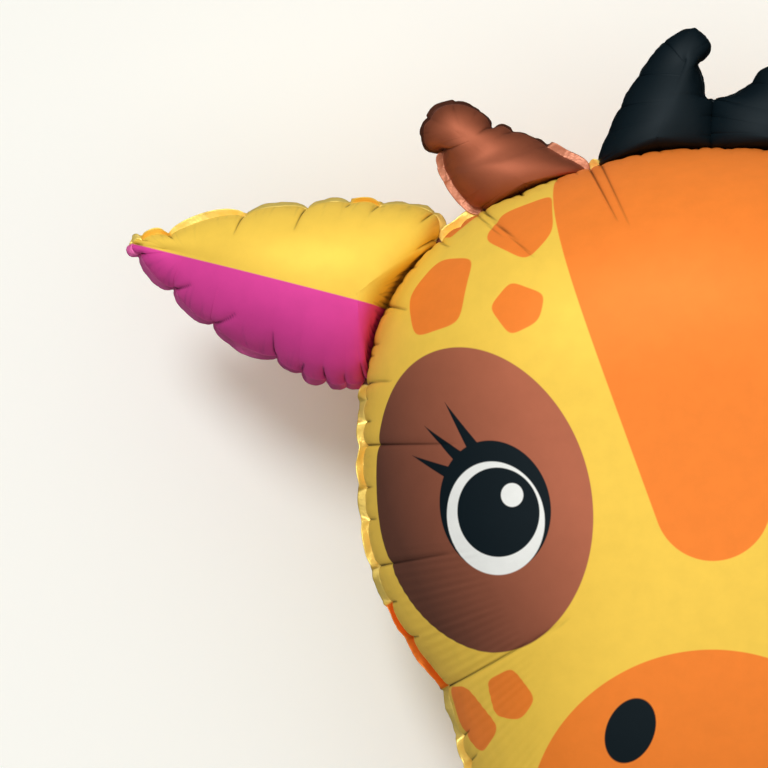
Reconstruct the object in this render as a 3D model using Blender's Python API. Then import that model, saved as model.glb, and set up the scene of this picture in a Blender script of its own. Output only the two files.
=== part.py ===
"""Giraffe head foil balloon, blown up and lying on its back with the face up.

Metres, +Z up. X runs from ear to ear and Y from the chin to the mane. The origin is the
middle of the flat spot on the back of the head, which the balloon rests on. The balloon is
one envelope: a front and a back sheet welded along one outline, and welded again where the
ears, horns and mane meet the head, so that each of those swells as a lobe of its own.
"""

import math

import bmesh
import bpy
import numpy as np
from mathutils import Vector

# Head
HEAD_WIDTH = 0.586
HEAD_HEIGHT = 0.674
HEAD_DEPTH = 0.352
FLAT_SPOT_WIDTH = 0.150

# Ears: from the weld to the tip, and across the weld
EAR_LENGTH = 0.243
EAR_WIDTH = 0.147
EAR_DEPTH = 0.126
EAR_LIFT_DEG = 13.7

# Horns, each a stem with a knob
HORN_LENGTH = 0.108
HORN_WIDTH = 0.080
HORN_DEPTH = 0.066
HORN_LIFT_DEG = 35.6

# Mane, two locks swept to one side
MANE_WIDTH = 0.189
MANE_HEIGHT = 0.095
MANE_DEPTH = 0.074

# How far each lobe reaches into the head
EAR_LAP = 0.014
HORN_LAP = 0.004

# Welded rim, and the flat neck that the balloon is filled through
RIM_WIDTH = 0.008
RIM_THICKNESS = 0.0016
NECK_WIDTH = 0.026
NECK_LENGTH = 0.048
NECK_LAP = 0.020
NECK_THICKNESS = 0.0012

# Puckers: how far each pinch pulls the seam in, and how far up the skin its crease runs
PINCH = 0.0055
CREASE_REACH = 0.040
SAMPLES_PER_PUCKER = 3

# A section across a lobe is an ellipse at 2 and fuller above it
HEAD_FULLNESS = 2.87
LOBE_FULLNESS = 2.2
HEAD_RINGS = 6
EAR_RINGS = 4
SMALL_RINGS = 4

FOIL_COLOUR = (0.86, 0.60, 0.10, 1.0)
FOIL_ROUGHNESS = 0.38
FOIL_METALLIC = 0.45

# The head's right half, from the crown round to the chin, in half widths and heights
HEAD_SIDE = [
    (0.0, 0.426), (0.18, 0.421), (0.35, 0.402), (0.52, 0.376), (0.67, 0.346),
    (0.78, 0.313), (0.876, 0.270), (0.945, 0.219), (0.983, 0.163), (1.0, 0.060),
    (0.994, -0.025), (0.977, -0.075), (0.934, -0.134), (0.864, -0.188),
    (0.768, -0.243), (0.722, -0.307), (0.682, -0.363), (0.630, -0.426),
    (0.546, -0.489), (0.413, -0.541), (0.234, -0.568), (0.0, -0.574),
]
HEAD_SPINE = [(0.0, 0.105), (0.0, -0.042)]
HEAD_PINCHES = [0.05, 0.10, 0.153, 0.195, 0.24, 0.28, 0.315, 0.35, 0.387, 0.412, 0.434,
                0.464, 0.494, 0.534, 0.576, 0.605, 0.65, 0.70, 0.75, 0.80, 0.85, 0.90, 0.95]

# Each lobe's two edges, from the middle of its base to its tip. An ear or horn is given
# along its length and across in half widths, upper edge first. A lock is given across in
# half mane widths and up from the head's crown line in mane heights, outer edge first.
EAR_EDGES = (
    [(-0.03, 0.0), (-0.09, 0.45), (-0.13, 0.90), (-0.08, 1.06), (0.058, 1.145),
     (0.235, 1.068), (0.442, 0.915), (0.644, 0.696), (0.809, 0.459), (0.935, 0.205),
     (1.0, 0.0)],
    [(-0.03, 0.0), (0.0, -0.5), (0.02, -0.93), (0.067, -0.985), (0.218, -0.99),
     (0.429, -0.908), (0.576, -0.788), (0.75, -0.618), (0.893, -0.353), (0.97, -0.154),
     (1.0, 0.0)],
)
EAR_SPINE = [(0.24, 0.05), (0.92, 0.02)]
EAR_SWELL = (0.94, 1.0, 0.95, 0.78, 0.48, 0.20)
EAR_PLACE = 0.312
EAR_PINCHES = ([0.16, 0.30, 0.36, 0.46, 0.56, 0.68, 0.87, 0.935],
               [0.14, 0.26, 0.33, 0.415, 0.54, 0.70, 0.83, 0.93])

HORN_EDGES = (
    [(-0.16, 0.10), (-0.29, 0.70), (-0.17, 0.87), (-0.03, 0.88), (0.15, 0.85),
     (0.30, 0.76), (0.42, 0.66), (0.53, 0.47), (0.66, 0.60), (0.85, 0.50),
     (0.96, 0.18), (0.96, -0.15)],
    [(-0.16, 0.10), (0.13, -1.03), (0.28, -1.02), (0.43, -1.0), (0.57, -0.88),
     (0.68, -0.58), (0.80, -0.56), (0.90, -0.44), (0.96, -0.15)],
)
HORN_SPINE = [(0.16, -0.05), (0.76, 0.02)]
HORN_SWELL = (0.90, 1.0, 0.96, 0.78, 0.74, 0.70)
HORN_PLACE = 0.153
HORN_PINCHES = ([0.22, 0.36, 0.50, 0.645, 0.76, 0.90],
                [0.20, 0.40, 0.53, 0.65, 0.76, 0.88])

LEFT_LOCK_EDGES = (
    [(-0.47, -0.12), (-0.80, -0.11), (-0.94, -0.05), (-0.87, 0.22), (-0.77, 0.47),
     (-0.61, 0.70), (-0.43, 0.89), (-0.29, 0.97), (-0.14, 1.02)],
    [(-0.47, -0.12), (-0.16, -0.12), (0.02, -0.05), (0.02, 0.20), (-0.05, 0.45),
     (-0.10, 0.58), (-0.12, 0.72), (-0.08, 0.81), (-0.06, 0.91), (-0.14, 1.02)],
)
LEFT_LOCK_SPINE = [(-0.46, 0.24), (-0.20, 0.78)]
RIGHT_LOCK_EDGES = (
    [(0.47, -0.12), (0.16, -0.12), (-0.05, -0.05), (-0.05, 0.20), (0.03, 0.41),
     (0.17, 0.44), (0.30, 0.54), (0.46, 0.67), (0.71, 0.88), (0.88, 0.99), (0.98, 1.0)],
    [(0.47, -0.12), (0.80, -0.11), (0.94, -0.05), (0.95, 0.20), (0.96, 0.46),
     (0.98, 0.67), (1.02, 0.87), (0.98, 1.0)],
)
RIGHT_LOCK_SPINE = [(0.46, 0.24), (0.80, 0.74)]
LOCK_SWELL = (1.0, 0.97, 0.84, 0.66, 0.44)
LOCK_PINCHES = ([0.17, 0.33, 0.48, 0.62, 0.75, 0.88], [0.17, 0.33, 0.47, 0.61, 0.75, 0.88])


def curve_through(points):
    """A smooth curve through the points, as closely spaced ones."""
    points = [np.array(point, dtype=float) for point in points]
    ends = [2 * points[0] - points[1], *points, 2 * points[-1] - points[-2]]
    curve = []
    for before, start, end, after in zip(ends, ends[1:], ends[2:], ends[3:]):
        for t in np.linspace(0, 1, 24, endpoint=False):
            curve.append(0.5 * (2 * start + (end - before) * t
                                + (2 * before - 5 * start + 4 * end - after) * t ** 2
                                + (3 * start - before - 3 * end + after) * t ** 3))
    return np.array([*curve, points[-1]])


def at_shares(curve, shares):
    """Points at these shares of a curve's length."""
    steps = np.linalg.norm(np.diff(curve, axis=0), axis=1)
    run = np.concatenate([[0], np.cumsum(steps)])
    wanted = np.array(shares) * run[-1]
    return np.column_stack([np.interp(wanted, run, curve[:, axis]) for axis in (0, 1)])


def pucker_shares(pinches):
    """Shares along an edge, one of them on each pinch, and how full the seam is at each."""
    stops = [0.0, *pinches, 1.0]
    parts = np.arange(SAMPLES_PER_PUCKER) / SAMPLES_PER_PUCKER
    shares = [start + (end - start) * part for start, end in zip(stops, stops[1:]) for part in parts]
    full = [1 - (2 * part - 1) ** 2 for _ in stops[1:] for part in parts]
    return [*shares, 1.0], [*full, 0.0]


def section(fullness, rings, flat_share=0.0):
    """(out, up, lean) from the seam to the middle, in half widths, half depths and radians."""
    last = math.acos(flat_share ** (fullness / 2))
    turns = [last * ring / rings for ring in range(rings + 1)]
    return [(math.cos(turn) ** (2 / fullness), math.sin(turn), turn) for turn in turns]


def lobe_outline(edges, pinches):
    """A lobe's outline, anticlockwise, with how full the seam is at each point."""
    (shares_a, full_a), (shares_b, full_b) = (pucker_shares(side) for side in pinches)
    out = at_shares(curve_through(edges[0]), shares_a)
    back = at_shares(curve_through(edges[1]), shares_b)
    points = np.concatenate([out, back[-2:0:-1]])
    full = np.array([*full_a, *full_b[-2:0:-1]])
    following = np.roll(points, -1, axis=0)
    if np.sum(points[:, 0] * following[:, 1] - points[:, 1] * following[:, 0]) < 0:
        points, full = np.roll(points[::-1], 1, axis=0), np.roll(full[::-1], 1)
    return points, full


def normals_and_rim(points):
    """Each point's outward direction, and the rim's width there, narrower in a hollow."""
    ahead, behind = np.roll(points, -1, axis=0) - points, points - np.roll(points, 1, axis=0)
    along = ahead + behind
    spacing = np.linalg.norm(along, axis=1) / 2
    normals = np.column_stack([along[:, 1], -along[:, 0]]) / (2 * spacing[:, None])
    turn = np.arctan2(behind[:, 0] * ahead[:, 1] - behind[:, 1] * ahead[:, 0],
                      np.sum(behind * ahead, axis=1))
    hollow = np.maximum(0, -turn / spacing)
    return normals, RIM_WIDTH / np.maximum(1, 1.6 * hollow * RIM_WIDTH)


def make_lobe(name, edges, pinches, spine, half_depths, seam_height, sections):
    """A welded lobe: front and back skins, puckered along the seam, and its flat rim."""
    points, full = lobe_outline(edges, pinches)
    count = len(points)
    normals, rim_width = normals_and_rim(points)
    start, way = np.array(spine[0]), np.array(spine[1]) - np.array(spine[0])
    middles = (points + points[(-np.arange(count)) % count]) / 2
    place = np.clip((middles - start) @ way / (way @ way), 0, 1)
    anchors = start + place[:, None] * way
    half_depth = np.interp(place, np.linspace(0, 1, len(half_depths)), half_depths)
    reach = np.linalg.norm(points - anchors, axis=1)
    pinch = np.minimum(PINCH, 0.16 * reach) * (1 - full)

    def skin(side, steps):
        rows = []
        for out, up, lean in steps:
            from_seam = np.hypot(reach * (1 - out), half_depth * up)
            pull = pinch * np.exp(-from_seam / CREASE_REACH) * (1 - (up / steps[-1][1]) ** 4)
            flat = anchors + (points - anchors) * out - normals * (pull * math.cos(lean))[:, None]
            rise = half_depth * up - pull * math.sin(lean) + RIM_THICKNESS / 2
            rows.append(np.column_stack([flat, seam_height + side * rise]))
        return rows

    edge = points + normals * (rim_width - pinch)[:, None]
    rim = [np.column_stack([edge, np.full(count, seam_height + side * RIM_THICKNESS / 2)])
           for side in (1, -1)]
    rows = skin(1, sections[0])[::-1] + rim + skin(-1, sections[1])
    bm = bmesh.new()
    rings = [[bm.verts.new(Vector(place)) for place in row] for row in rows]
    for upper, lower in zip(rings, rings[1:]):
        for k in range(count):
            bm.faces.new([upper[k - 1], lower[k - 1], lower[k], upper[k]])
    if sections[1][-1][0] > 1e-6:
        bm.faces.new(rings[-1])
    bmesh.ops.remove_doubles(bm, verts=bm.verts, dist=1e-6)
    bmesh.ops.recalc_face_normals(bm, faces=bm.faces)
    return to_object(name, bm)


def to_object(name, bm):
    """Turn a bmesh into an object in the scene."""
    mesh = bpy.data.meshes.new(name)
    bm.to_mesh(mesh)
    bm.free()
    made = bpy.data.objects.new(name, mesh)
    bpy.context.scene.collection.objects.link(made)
    return made


def ear_or_horn(name, side, place, lap, lift, length, width, edges, pinches, spine, swell, depth, rings,
                head_side, seam_height):
    """A lobe that leans out from the head's side, at a share of the way round it."""
    base = at_shares(head_side, [place])[0] * (side, 1)
    along = np.array([side * math.cos(lift), math.sin(lift)])
    across = np.array([-side * math.sin(lift), math.cos(lift)])
    base = base - along * lap

    def placed(shares):
        return [base + along * u * length + across * v * width / 2 for u, v in shares]

    lobe_section = section(LOBE_FULLNESS, rings)
    return make_lobe(name, [placed(edge) for edge in edges], pinches, placed(spine),
                     [share * depth / 2 for share in swell], seam_height, (lobe_section, lobe_section))


def mane_lock(name, edges, spine, head_side, seam_height):
    """A lock of the mane, standing on the head's crown line."""
    top = head_side[: np.argmin(np.abs(head_side[:, 1]))]

    def placed(shares):
        places = [u * MANE_WIDTH / 2 for u, _ in shares]
        crown = np.interp(np.abs(places), top[:, 0], top[:, 1])
        return [np.array([x, line + v * MANE_HEIGHT])
                for x, line, (_, v) in zip(places, crown, shares)]

    lobe_section = section(LOBE_FULLNESS, SMALL_RINGS)
    return make_lobe(name, [placed(edge) for edge in edges], LOCK_PINCHES, placed(spine),
                     [share * MANE_DEPTH / 2 for share in LOCK_SWELL], seam_height,
                     (lobe_section, lobe_section))


def filler_neck(chin, seam_height):
    """The flat tab below the chin."""
    bm = bmesh.new()
    bmesh.ops.create_cube(bm, size=1)
    low, high = chin - RIM_WIDTH - NECK_LENGTH, chin + NECK_LAP
    for vert in bm.verts:
        vert.co = Vector((vert.co.x * NECK_WIDTH, (low + high) / 2 + vert.co.y * (high - low),
                          seam_height + vert.co.z * NECK_THICKNESS))
    return to_object("filler_neck_shape", bm)


def foil_material():
    """Satin printed foil."""
    material = bpy.data.materials.new("printed_foil")
    material.use_nodes = True
    shader = material.node_tree.nodes["Principled BSDF"]
    shader.inputs["Base Color"].default_value = FOIL_COLOUR
    shader.inputs["Roughness"].default_value = FOIL_ROUGHNESS
    shader.inputs["Metallic"].default_value = FOIL_METALLIC
    return material


def unite(body, lobe):
    """Weld a lobe into the envelope."""
    join = body.modifiers.new(lobe.name, "BOOLEAN")
    join.operation = "UNION"
    join.solver = "EXACT"
    join.object = lobe
    lobe.hide_render = True
    lobe.display_type = "WIRE"


def main():
    for leftover in list(bpy.data.objects):
        bpy.data.objects.remove(leftover)
    half_depth = HEAD_DEPTH / 2
    front = section(HEAD_FULLNESS, HEAD_RINGS)
    back = section(HEAD_FULLNESS, HEAD_RINGS, FLAT_SPOT_WIDTH / HEAD_WIDTH)
    seam_height = half_depth * back[-1][1] + RIM_THICKNESS / 2
    right = [(x * HEAD_WIDTH / 2, y * HEAD_HEIGHT) for x, y in HEAD_SIDE]
    left = [(-x, y) for x, y in right]
    head_side = curve_through(right)
    spine = [(x * HEAD_WIDTH / 2, y * HEAD_HEIGHT) for x, y in HEAD_SPINE]
    envelope = make_lobe("balloon_envelope", (left, right), (HEAD_PINCHES, HEAD_PINCHES), spine,
                         [half_depth], seam_height, (front, back))
    envelope.data.materials.append(foil_material())
    for side, word in ((-1, "left"), (1, "right")):
        unite(envelope, ear_or_horn(
            f"{word}_ear_shape", side, EAR_PLACE, EAR_LAP, math.radians(EAR_LIFT_DEG), EAR_LENGTH,
            EAR_WIDTH, EAR_EDGES, EAR_PINCHES, EAR_SPINE, EAR_SWELL, EAR_DEPTH, EAR_RINGS,
            head_side, seam_height))
        unite(envelope, ear_or_horn(
            f"{word}_horn_shape", side, HORN_PLACE, HORN_LAP, math.radians(HORN_LIFT_DEG), HORN_LENGTH,
            HORN_WIDTH, HORN_EDGES, HORN_PINCHES, HORN_SPINE, HORN_SWELL, HORN_DEPTH, SMALL_RINGS,
            head_side, seam_height))
    unite(envelope, mane_lock("left_lock_shape", LEFT_LOCK_EDGES, LEFT_LOCK_SPINE, head_side, seam_height))
    unite(envelope, mane_lock("right_lock_shape", RIGHT_LOCK_EDGES, RIGHT_LOCK_SPINE, head_side, seam_height))
    unite(envelope, filler_neck(right[-1][1], seam_height))


main()
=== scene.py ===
"""Looks of a giraffe head foil balloon: puckered film, crinkled weld rims and a printed face.

Metres, +Z up, with the balloon lying on its back. Every lobe is a closed skin blown up from a
seam line that is pinched in at its folds, and every lobe has a flat weld rim outside its seam.
"""

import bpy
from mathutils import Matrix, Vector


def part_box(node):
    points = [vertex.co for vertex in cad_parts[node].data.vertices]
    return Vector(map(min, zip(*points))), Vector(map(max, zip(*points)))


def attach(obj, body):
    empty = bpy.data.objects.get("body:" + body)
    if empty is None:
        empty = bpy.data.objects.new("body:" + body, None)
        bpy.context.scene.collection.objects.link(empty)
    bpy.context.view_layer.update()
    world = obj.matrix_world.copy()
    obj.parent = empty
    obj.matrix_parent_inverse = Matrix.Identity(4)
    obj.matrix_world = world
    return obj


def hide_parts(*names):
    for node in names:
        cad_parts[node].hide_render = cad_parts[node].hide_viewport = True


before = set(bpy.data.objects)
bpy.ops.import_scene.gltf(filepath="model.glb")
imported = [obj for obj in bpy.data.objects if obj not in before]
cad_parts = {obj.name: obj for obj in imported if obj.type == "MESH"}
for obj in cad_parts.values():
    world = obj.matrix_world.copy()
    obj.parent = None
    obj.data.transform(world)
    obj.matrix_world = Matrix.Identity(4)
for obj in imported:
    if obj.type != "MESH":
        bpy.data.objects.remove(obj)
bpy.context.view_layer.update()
envelope_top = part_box("balloon_envelope")[1].z

import math

import bpy
import numpy as np
from bpy.props import FloatProperty, FloatVectorProperty, IntProperty, PointerProperty
from bpy.types import Operator, Panel, PropertyGroup
from mathutils import Matrix, Vector

bl_info = {
    "name": "Giraffe Head Foil Balloon",
    "version": (1, 0, 0),
    "blender": (4, 5, 0),
    "location": "3D View > Sidebar > Foil Balloon",
    "description": "Makes the film, the weld rims and the print of a giraffe head foil balloon",
    "category": "Add Mesh",
}

# The head's right half, from the crown round to the chin, in half widths and heights
HEAD_SIDE = [
    (0.0, 0.426), (0.18, 0.421), (0.35, 0.402), (0.52, 0.376), (0.67, 0.346),
    (0.78, 0.313), (0.876, 0.270), (0.945, 0.219), (0.983, 0.163), (1.0, 0.060),
    (0.994, -0.025), (0.977, -0.075), (0.934, -0.134), (0.864, -0.188),
    (0.768, -0.243), (0.722, -0.307), (0.682, -0.363), (0.630, -0.426),
    (0.546, -0.489), (0.413, -0.541), (0.234, -0.568), (0.0, -0.574),
]
HEAD_SPINE = [(0.0, 0.105), (0.0, -0.042)]

# Folds pinched into the head's seam: share of the side, length in metres of the crease that
# runs up the film from it, how far the crease leans towards the chin, how hard it pulls, and
# how far the rim past it is bent up, in degrees
HEAD_FOLDS = [
    (0.011, 0.014, 0.0, 0.6, 0), (0.059, 0.016, 0.03, 0.5, 0), (0.093, 0.090, 0.01, 0.5, 20),
    (0.103, 0.085, 0.01, 0.9, 0), (0.164, 0.020, 0.0, 1.1, 0), (0.197, 0.090, 0.06, 0.9, 15),
    (0.204, 0.060, 0.06, 0.4, 5), (0.222, 0.016, 0.0, 0.5, 20), (0.242, 0.032, 0.08, 1.0, 0),
    (0.313, 0.040, 0.0, 0.9, 0), (0.348, 0.022, -0.03, 0.6, 0), (0.381, 0.044, -0.06, 1.0, 25),
    (0.394, 0.014, 0.0, 0.5, -30), (0.412, 0.022, 0.03, 0.8, 10), (0.432, 0.105, 0.0, 0.9, 35),
    (0.467, 0.022, 0.0, 0.7, -10), (0.494, 0.026, -0.03, 0.8, 25),
    (0.534, 0.095, -0.04, 1.0, -25), (0.566, 0.024, 0.0, 0.7, 55),
    (0.600, 0.026, 0.03, 0.9, 30), (0.650, 0.150, 0.03, 1.1, -40), (0.693, 0.030, 0.0, 0.8, 15),
    (0.714, 0.030, 0.03, 0.6, 30), (0.760, 0.060, -0.03, 0.9, -20),
    (0.800, 0.028, 0.0, 0.7, 20), (0.838, 0.036, 0.03, 0.9, -30), (0.880, 0.026, 0.0, 0.7, 25),
    (0.918, 0.040, -0.03, 0.9, -15), (0.956, 0.024, 0.0, 0.7, 10),
]
# Stretches of the head's side that are welded to the mane, a horn and an ear
HEAD_WELDS = ((0.0, 0.093), (0.103, 0.197), (0.242, 0.381))

# Each lobe's two free edges, from its weld with the head to its tip. An ear or horn is given
# along its length and across in half widths, upper edge first. A lock is given across in half
# mane widths and up from the head's crown line in mane heights. A lobe's folds are given as
# the head's are, along each whole edge, and lean towards its tip. A base is a lobe's weld, as
# shares of the head's side.
EAR_EDGES = (
    [(-0.037, 1.14), (0.017, 1.18), (0.10, 1.16), (0.271, 1.06), (0.418, 0.918),
     (0.623, 0.659), (0.763, 0.445), (0.869, 0.236), (0.952, 0.109), (0.990, 0.02)],
    [(0.171, -1.035), (0.309, -1.0), (0.408, -0.925), (0.54, -0.824), (0.652, -0.70),
     (0.817, -0.42), (0.924, -0.19), (0.972, -0.07), (0.990, 0.02)],
)
EAR_BASE = ([0.312, 0.292, 0.270, 0.246], [0.312, 0.335, 0.358, 0.377])
EAR_SPINE = [(0.08, 0.05), (0.92, 0.02)]
EAR_SWELL = (0.94, 1.0, 0.95, 0.78, 0.48, 0.20)
EAR_FOLDS = (
    [(0.192, 0.024, 0.0, 0.8, -30), (0.264, 0.020, 0.0, 0.7, -65), (0.398, 0.016, 0.0, 0.6, 55),
     (0.465, 0.012, 0.0, 0.5, -60), (0.569, 0.034, 0.0, 1.0, -66), (0.718, 0.028, 0.0, 1.1, 8),
     (0.906, 0.014, 0.0, 0.9, 50), (0.972, 0.010, 0.0, 0.7, -40)],
    [(0.218, 0.020, 0.0, 0.8, -50), (0.275, 0.014, 0.0, 0.4, -55), (0.333, 0.018, 0.0, 0.8, -45),
     (0.403, 0.016, -0.3, 0.7, -60), (0.482, 0.030, 0.0, 1.1, -38),
     (0.679, 0.030, -0.8, 1.1, -44), (0.823, 0.024, -0.8, 1.1, -38),
     (0.954, 0.010, 0.0, 0.9, -20)],
)

HORN_EDGES = (
    [(0.021, 0.900), (0.161, 0.895), (0.315, 0.850), (0.422, 0.755), (0.515, 0.70), (0.575, 0.58),
     (0.669, 0.665), (0.764, 0.660), (0.882, 0.560), (0.975, 0.36), (1.015, 0.15), (1.015, -0.05)],
    [(0.338, -1.063), (0.516, -0.953), (0.625, -0.818), (0.693, -0.723), (0.755, -0.56),
     (0.782, -0.46), (0.822, -0.53), (0.865, -0.59), (0.918, -0.562), (0.97, -0.455),
     (1.020, -0.25), (1.015, -0.05)],
)
HORN_BASE = ([0.153, 0.138, 0.122, 0.106], [0.153, 0.167, 0.181, 0.194])
HORN_SPINE = [(0.02, -0.05), (0.76, 0.02)]
HORN_SWELL = (0.90, 1.0, 0.96, 0.80, 0.76, 0.70)
HORN_FOLDS = (
    [(0.242, 0.014, 0.0, 0.5, 10), (0.347, 0.010, 0.0, 0.04, 8), (0.430, 0.010, 0.0, 0.4, -75),
     (0.590, 0.010, 0.0, 0.8, -70), (0.678, 0.018, 0.0, 1.4, -75), (0.770, 0.008, 0.0, 0.05, -65),
     (0.880, 0.010, 0.0, 0.15, -40)],
    [(0.304, 0.012, 0.0, 0.5, 12), (0.420, 0.010, 0.0, 0.04, 5), (0.560, 0.010, 0.0, 0.04, 20),
     (0.640, 0.008, 0.0, 0.04, 15), (0.727, 0.020, 0.0, 1.3, -75), (0.800, 0.008, 0.0, 0.05, -75),
     (0.900, 0.008, 0.0, 0.1, -70)],
)

LEFT_LOCK_EDGES = (
    [(-0.48, -0.02), (-0.84, -0.02), (-1.0, 0.0), (-0.945, 0.20), (-0.805, 0.475),
     (-0.645, 0.72), (-0.46, 0.93), (-0.30, 1.025), (-0.15, 1.065)],
    [(-0.48, -0.02), (-0.16, -0.02), (0.035, 0.02), (0.04, 0.20), (0.02, 0.42), (-0.055, 0.47),
     (-0.075, 0.58), (-0.115, 0.74), (-0.06, 0.81), (-0.02, 0.92), (-0.15, 1.065)],
)
LEFT_LOCK_SPINE = [(-0.50, 0.04), (-0.22, 0.78)]
LEFT_LOCK_FOLDS = (
    [(0.27, 0.020, 0.0, 0.8, -78), (0.40, 0.012, 0.0, 0.5, -78), (0.52, 0.012, 0.0, 0.9, -78),
     (0.68, 0.012, 0.0, 0.9, -78), (0.86, 0.010, 0.0, 0.9, -78)],
    [(0.35, 0.018, 0.0, 0.8, -78), (0.46, 0.016, 0.0, 0.8, -78), (0.576, 0.034, -0.2, 1.2, -60),
     (0.77, 0.016, 0.0, 1.4, -78), (0.90, 0.008, 0.0, 0.5, -78)],
)
RIGHT_LOCK_EDGES = (
    [(0.47, -0.02), (0.16, -0.02), (-0.035, 0.02), (-0.04, 0.20), (0.02, 0.42),
     (0.17, 0.455), (0.30, 0.535), (0.385, 0.63), (0.435, 0.70), (0.60, 0.79), (0.80, 0.93),
     (0.90, 1.03), (0.98, 1.03)],
    [(0.47, -0.02), (0.84, -0.02), (1.0, 0.01), (0.98, 0.20), (0.97, 0.46),
     (0.99, 0.67), (1.03, 0.87), (0.98, 1.03)],
)
RIGHT_LOCK_SPINE = [(0.48, 0.04), (0.78, 0.74)]
RIGHT_LOCK_FOLDS = (
    [(0.30, 0.020, 0.0, 0.8, -78), (0.38, 0.018, 0.0, 0.8, -78), (0.46, 0.026, 0.0, 1.0, -60),
     (0.64, 0.014, 0.0, 1.2, -78), (0.84, 0.010, 0.0, 0.7, -78)],
    [(0.28, 0.020, 0.0, 0.8, -78), (0.42, 0.014, 0.0, 0.5, -78), (0.56, 0.012, 0.0, 0.9, -78),
     (0.72, 0.012, 0.0, 0.9, -78), (0.88, 0.010, 0.0, 0.7, -78)],
)
LOCK_SWELL = (1.0, 0.97, 0.86, 0.70, 0.50)
# How many of a lock's edge points are welded to the head and to the other lock, and to the
# head alone
LEFT_LOCK_WELDS, RIGHT_LOCK_WELDS, BASE_POINTS = (3, 5), (5, 3), 3

# The uneven small folds along a weld: how many there are on the head's welds with the mane, a
# horn and an ear, and on each side of a lock's foot
HEAD_WELD_FOLDS, LOCK_WELD_FOLDS = (5, 6, 11), 6
# How far a small fold may be from its even place, in spacings, its reach in metres, and its lean
WELD_FOLD_SHIFT, WELD_FOLD_REACH, WELD_FOLD_LEAN = 0.25, (0.007, 0.020), 0.15
# How hard a small fold pulls, beside a full one, and how much that varies
WELD_PULL, WELD_PULL_SPREAD = 0.32, (0.7, 1.3)
# How near, as a share of the side, a small fold may come to one of the head's large ones
FOLD_CLEARANCE = 0.005
# Reach in metres of the folds at a lobe's two ends, and how hard the one at its tip pulls: a
# pointed one's, and a round one's
END_FOLD_REACH = 0.014
SHARP_TIP_PULL = 0.7
SMOOTH_TIP_PULL = 0.1
# Spread of the folds' pulls, and of how far the seam wanders up or down at them
PULL_SPREAD = (0.8, 1.2)
SWAY_SPREAD = (0.35, 1.0)
# How much of a fold's pull on the seam a weld holds off, and over how many points that fades
WELD_HOLD = 0.8
WELD_EASE = 3.0
# How square a scallop between two folds is: 2 is round, more is squarer
SCALLOP_SQUARENESS = 2.6
# How evenly the points lie between two folds. The rest of them crowds at the folds.
POINT_EVENNESS = 0.28

# Points on a curve between each two that are given
CURVE_STEPS = 24
# Mean spacing of the seam's points in metres, rows from the spine to the seam, how much those
# rows crowd at the spine, and the distances from the seam past which rows skip points
HEAD_SPACING, HEAD_RINGS, HEAD_THIN_AT = 0.0016, 48, (0.19, 0.30)
LOBE_SPACING, EAR_RINGS, SMALL_RINGS, LOBE_THIN_AT = 0.0013, 36, 30, (0.08, 0.2)
RING_CROWDING = 1.3
BACK_THINNING = 0.5
# Rows that fill a flat spot
FLAT_RINGS = 4
# How softly a section turns round the ends of its spine, as a share of the spine
SPINE_EASE = 0.24
# How far a row near the spine is smoothed, as a share of the lobe's mean half width
HEAD_FORM_EASE = 0.45
LOBE_FORM_EASE = 0.95
# How many evenly spaced places stand for each point while a row is smoothed
EVEN_STEPS = 4
# How far from the skin's poles, in metres, wrinkles fade in
POLE_FADE = 0.03
# How much a step down the steep flank counts beside a step across, where wrinkles fade
FLANK_SHARE = 0.25

# Depth of the folds on a horn and on the mane, beside those on the head
HORN_FOLDING = 0.5
MANE_FOLDING = 0.35
# Where past the seam a long crease rises, how bluntly it ends, and the least share of its depth
CREASE_RISE = (-0.001, 0.006)
CREASE_BLUNTNESS = 0.45
LEAST_CREASE = 0.25
# A crease's section: share of its sharp middle, and in half widths where its soft flanks end,
# where it can be left out and how far its painted dark line of shade reaches
CREASE_SHARPNESS = 0.7
FLANK_WIDTH = 4
CREASE_LIMIT = 16
PAINTED_SHADE_WIDTH = 0.6
# Painted shade: how much darker the ink is made in the bottom of a full crease
PAINTED_FOLD_SHADE = 0.9
# Fine puckers: their reach in metres, share of the full depth, and lean
PUCKER_REACH = (0.008, 0.030)
PUCKER_SHARE = (0.3, 1.0)
PUCKER_LEAN = 0.3
# The cheeks' ripples: the stretch of the head's side, over what share they fade in there, the
# distances from the seam between which they rise and fade, and how often they wander
CHEEKS = (0.50, 0.88)
CHEEK_EASE = 0.04
RIPPLE_RISE = (0.016, 0.036)
RIPPLE_FADE = (0.085, 0.125)
RIPPLE_WANDER = 0.07
# The broad flutes' spacing and reach in metres, and their share of the full depth
FLUTES = ((0.022, 0.016, 0.6), (0.050, 0.040, 1.0))
# How fast the film's crinkles stretch inwards, and in metres from the seam how far they reach,
# where the dents start, and how far from the spine both fade
CRINKLE_STRETCH = 0.35
CRINKLE_REACH = 0.010
DENT_START = 0.03
CALM_REACH = 0.05
# How much noise is stretched, as it seldom comes near its own ends
NOISE_GAIN = 3.0
# Nearer than this, in metres, points are one point
SAME_PLACE = 1e-6
# Against dividing by nought: what a row's length gains, and the least length of a normal
ROUNDING, NO_LENGTH = 1e-9, 1e-12

# Rows of a rim, in rim widths outside the seam
RIM_STEPS = (-0.3, 0.0, 0.3, 0.6, 0.85, 1.0)
# Over how many points a rim's outer edge is smoothed, and how much narrower it is at a fold
HEAD_RIM_EASE, HEAD_RIM_TAPER = 4.0, 0.1
LOBE_RIM_EASE, LOBE_RIM_TAPER = 1.2, 0.5
# Over how many points a rim narrows to a weld strip, and turns from one lean to the next
STRIP_EASE = 2.0
LEAN_EASE = 1.3
# A rim's flutter: spacing in metres, and most lean in radians
FLUTTER_GAP = 0.013
FLUTTER_LEAN = 0.22
# Width of a lobe's own weld strip, in metres, over the head's wider one
LOBE_STRIP = 0.001
# The stretch of the head's rim that is bent over and shows its orange side
TURNED_RIM = (0.566, 0.650)
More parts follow.
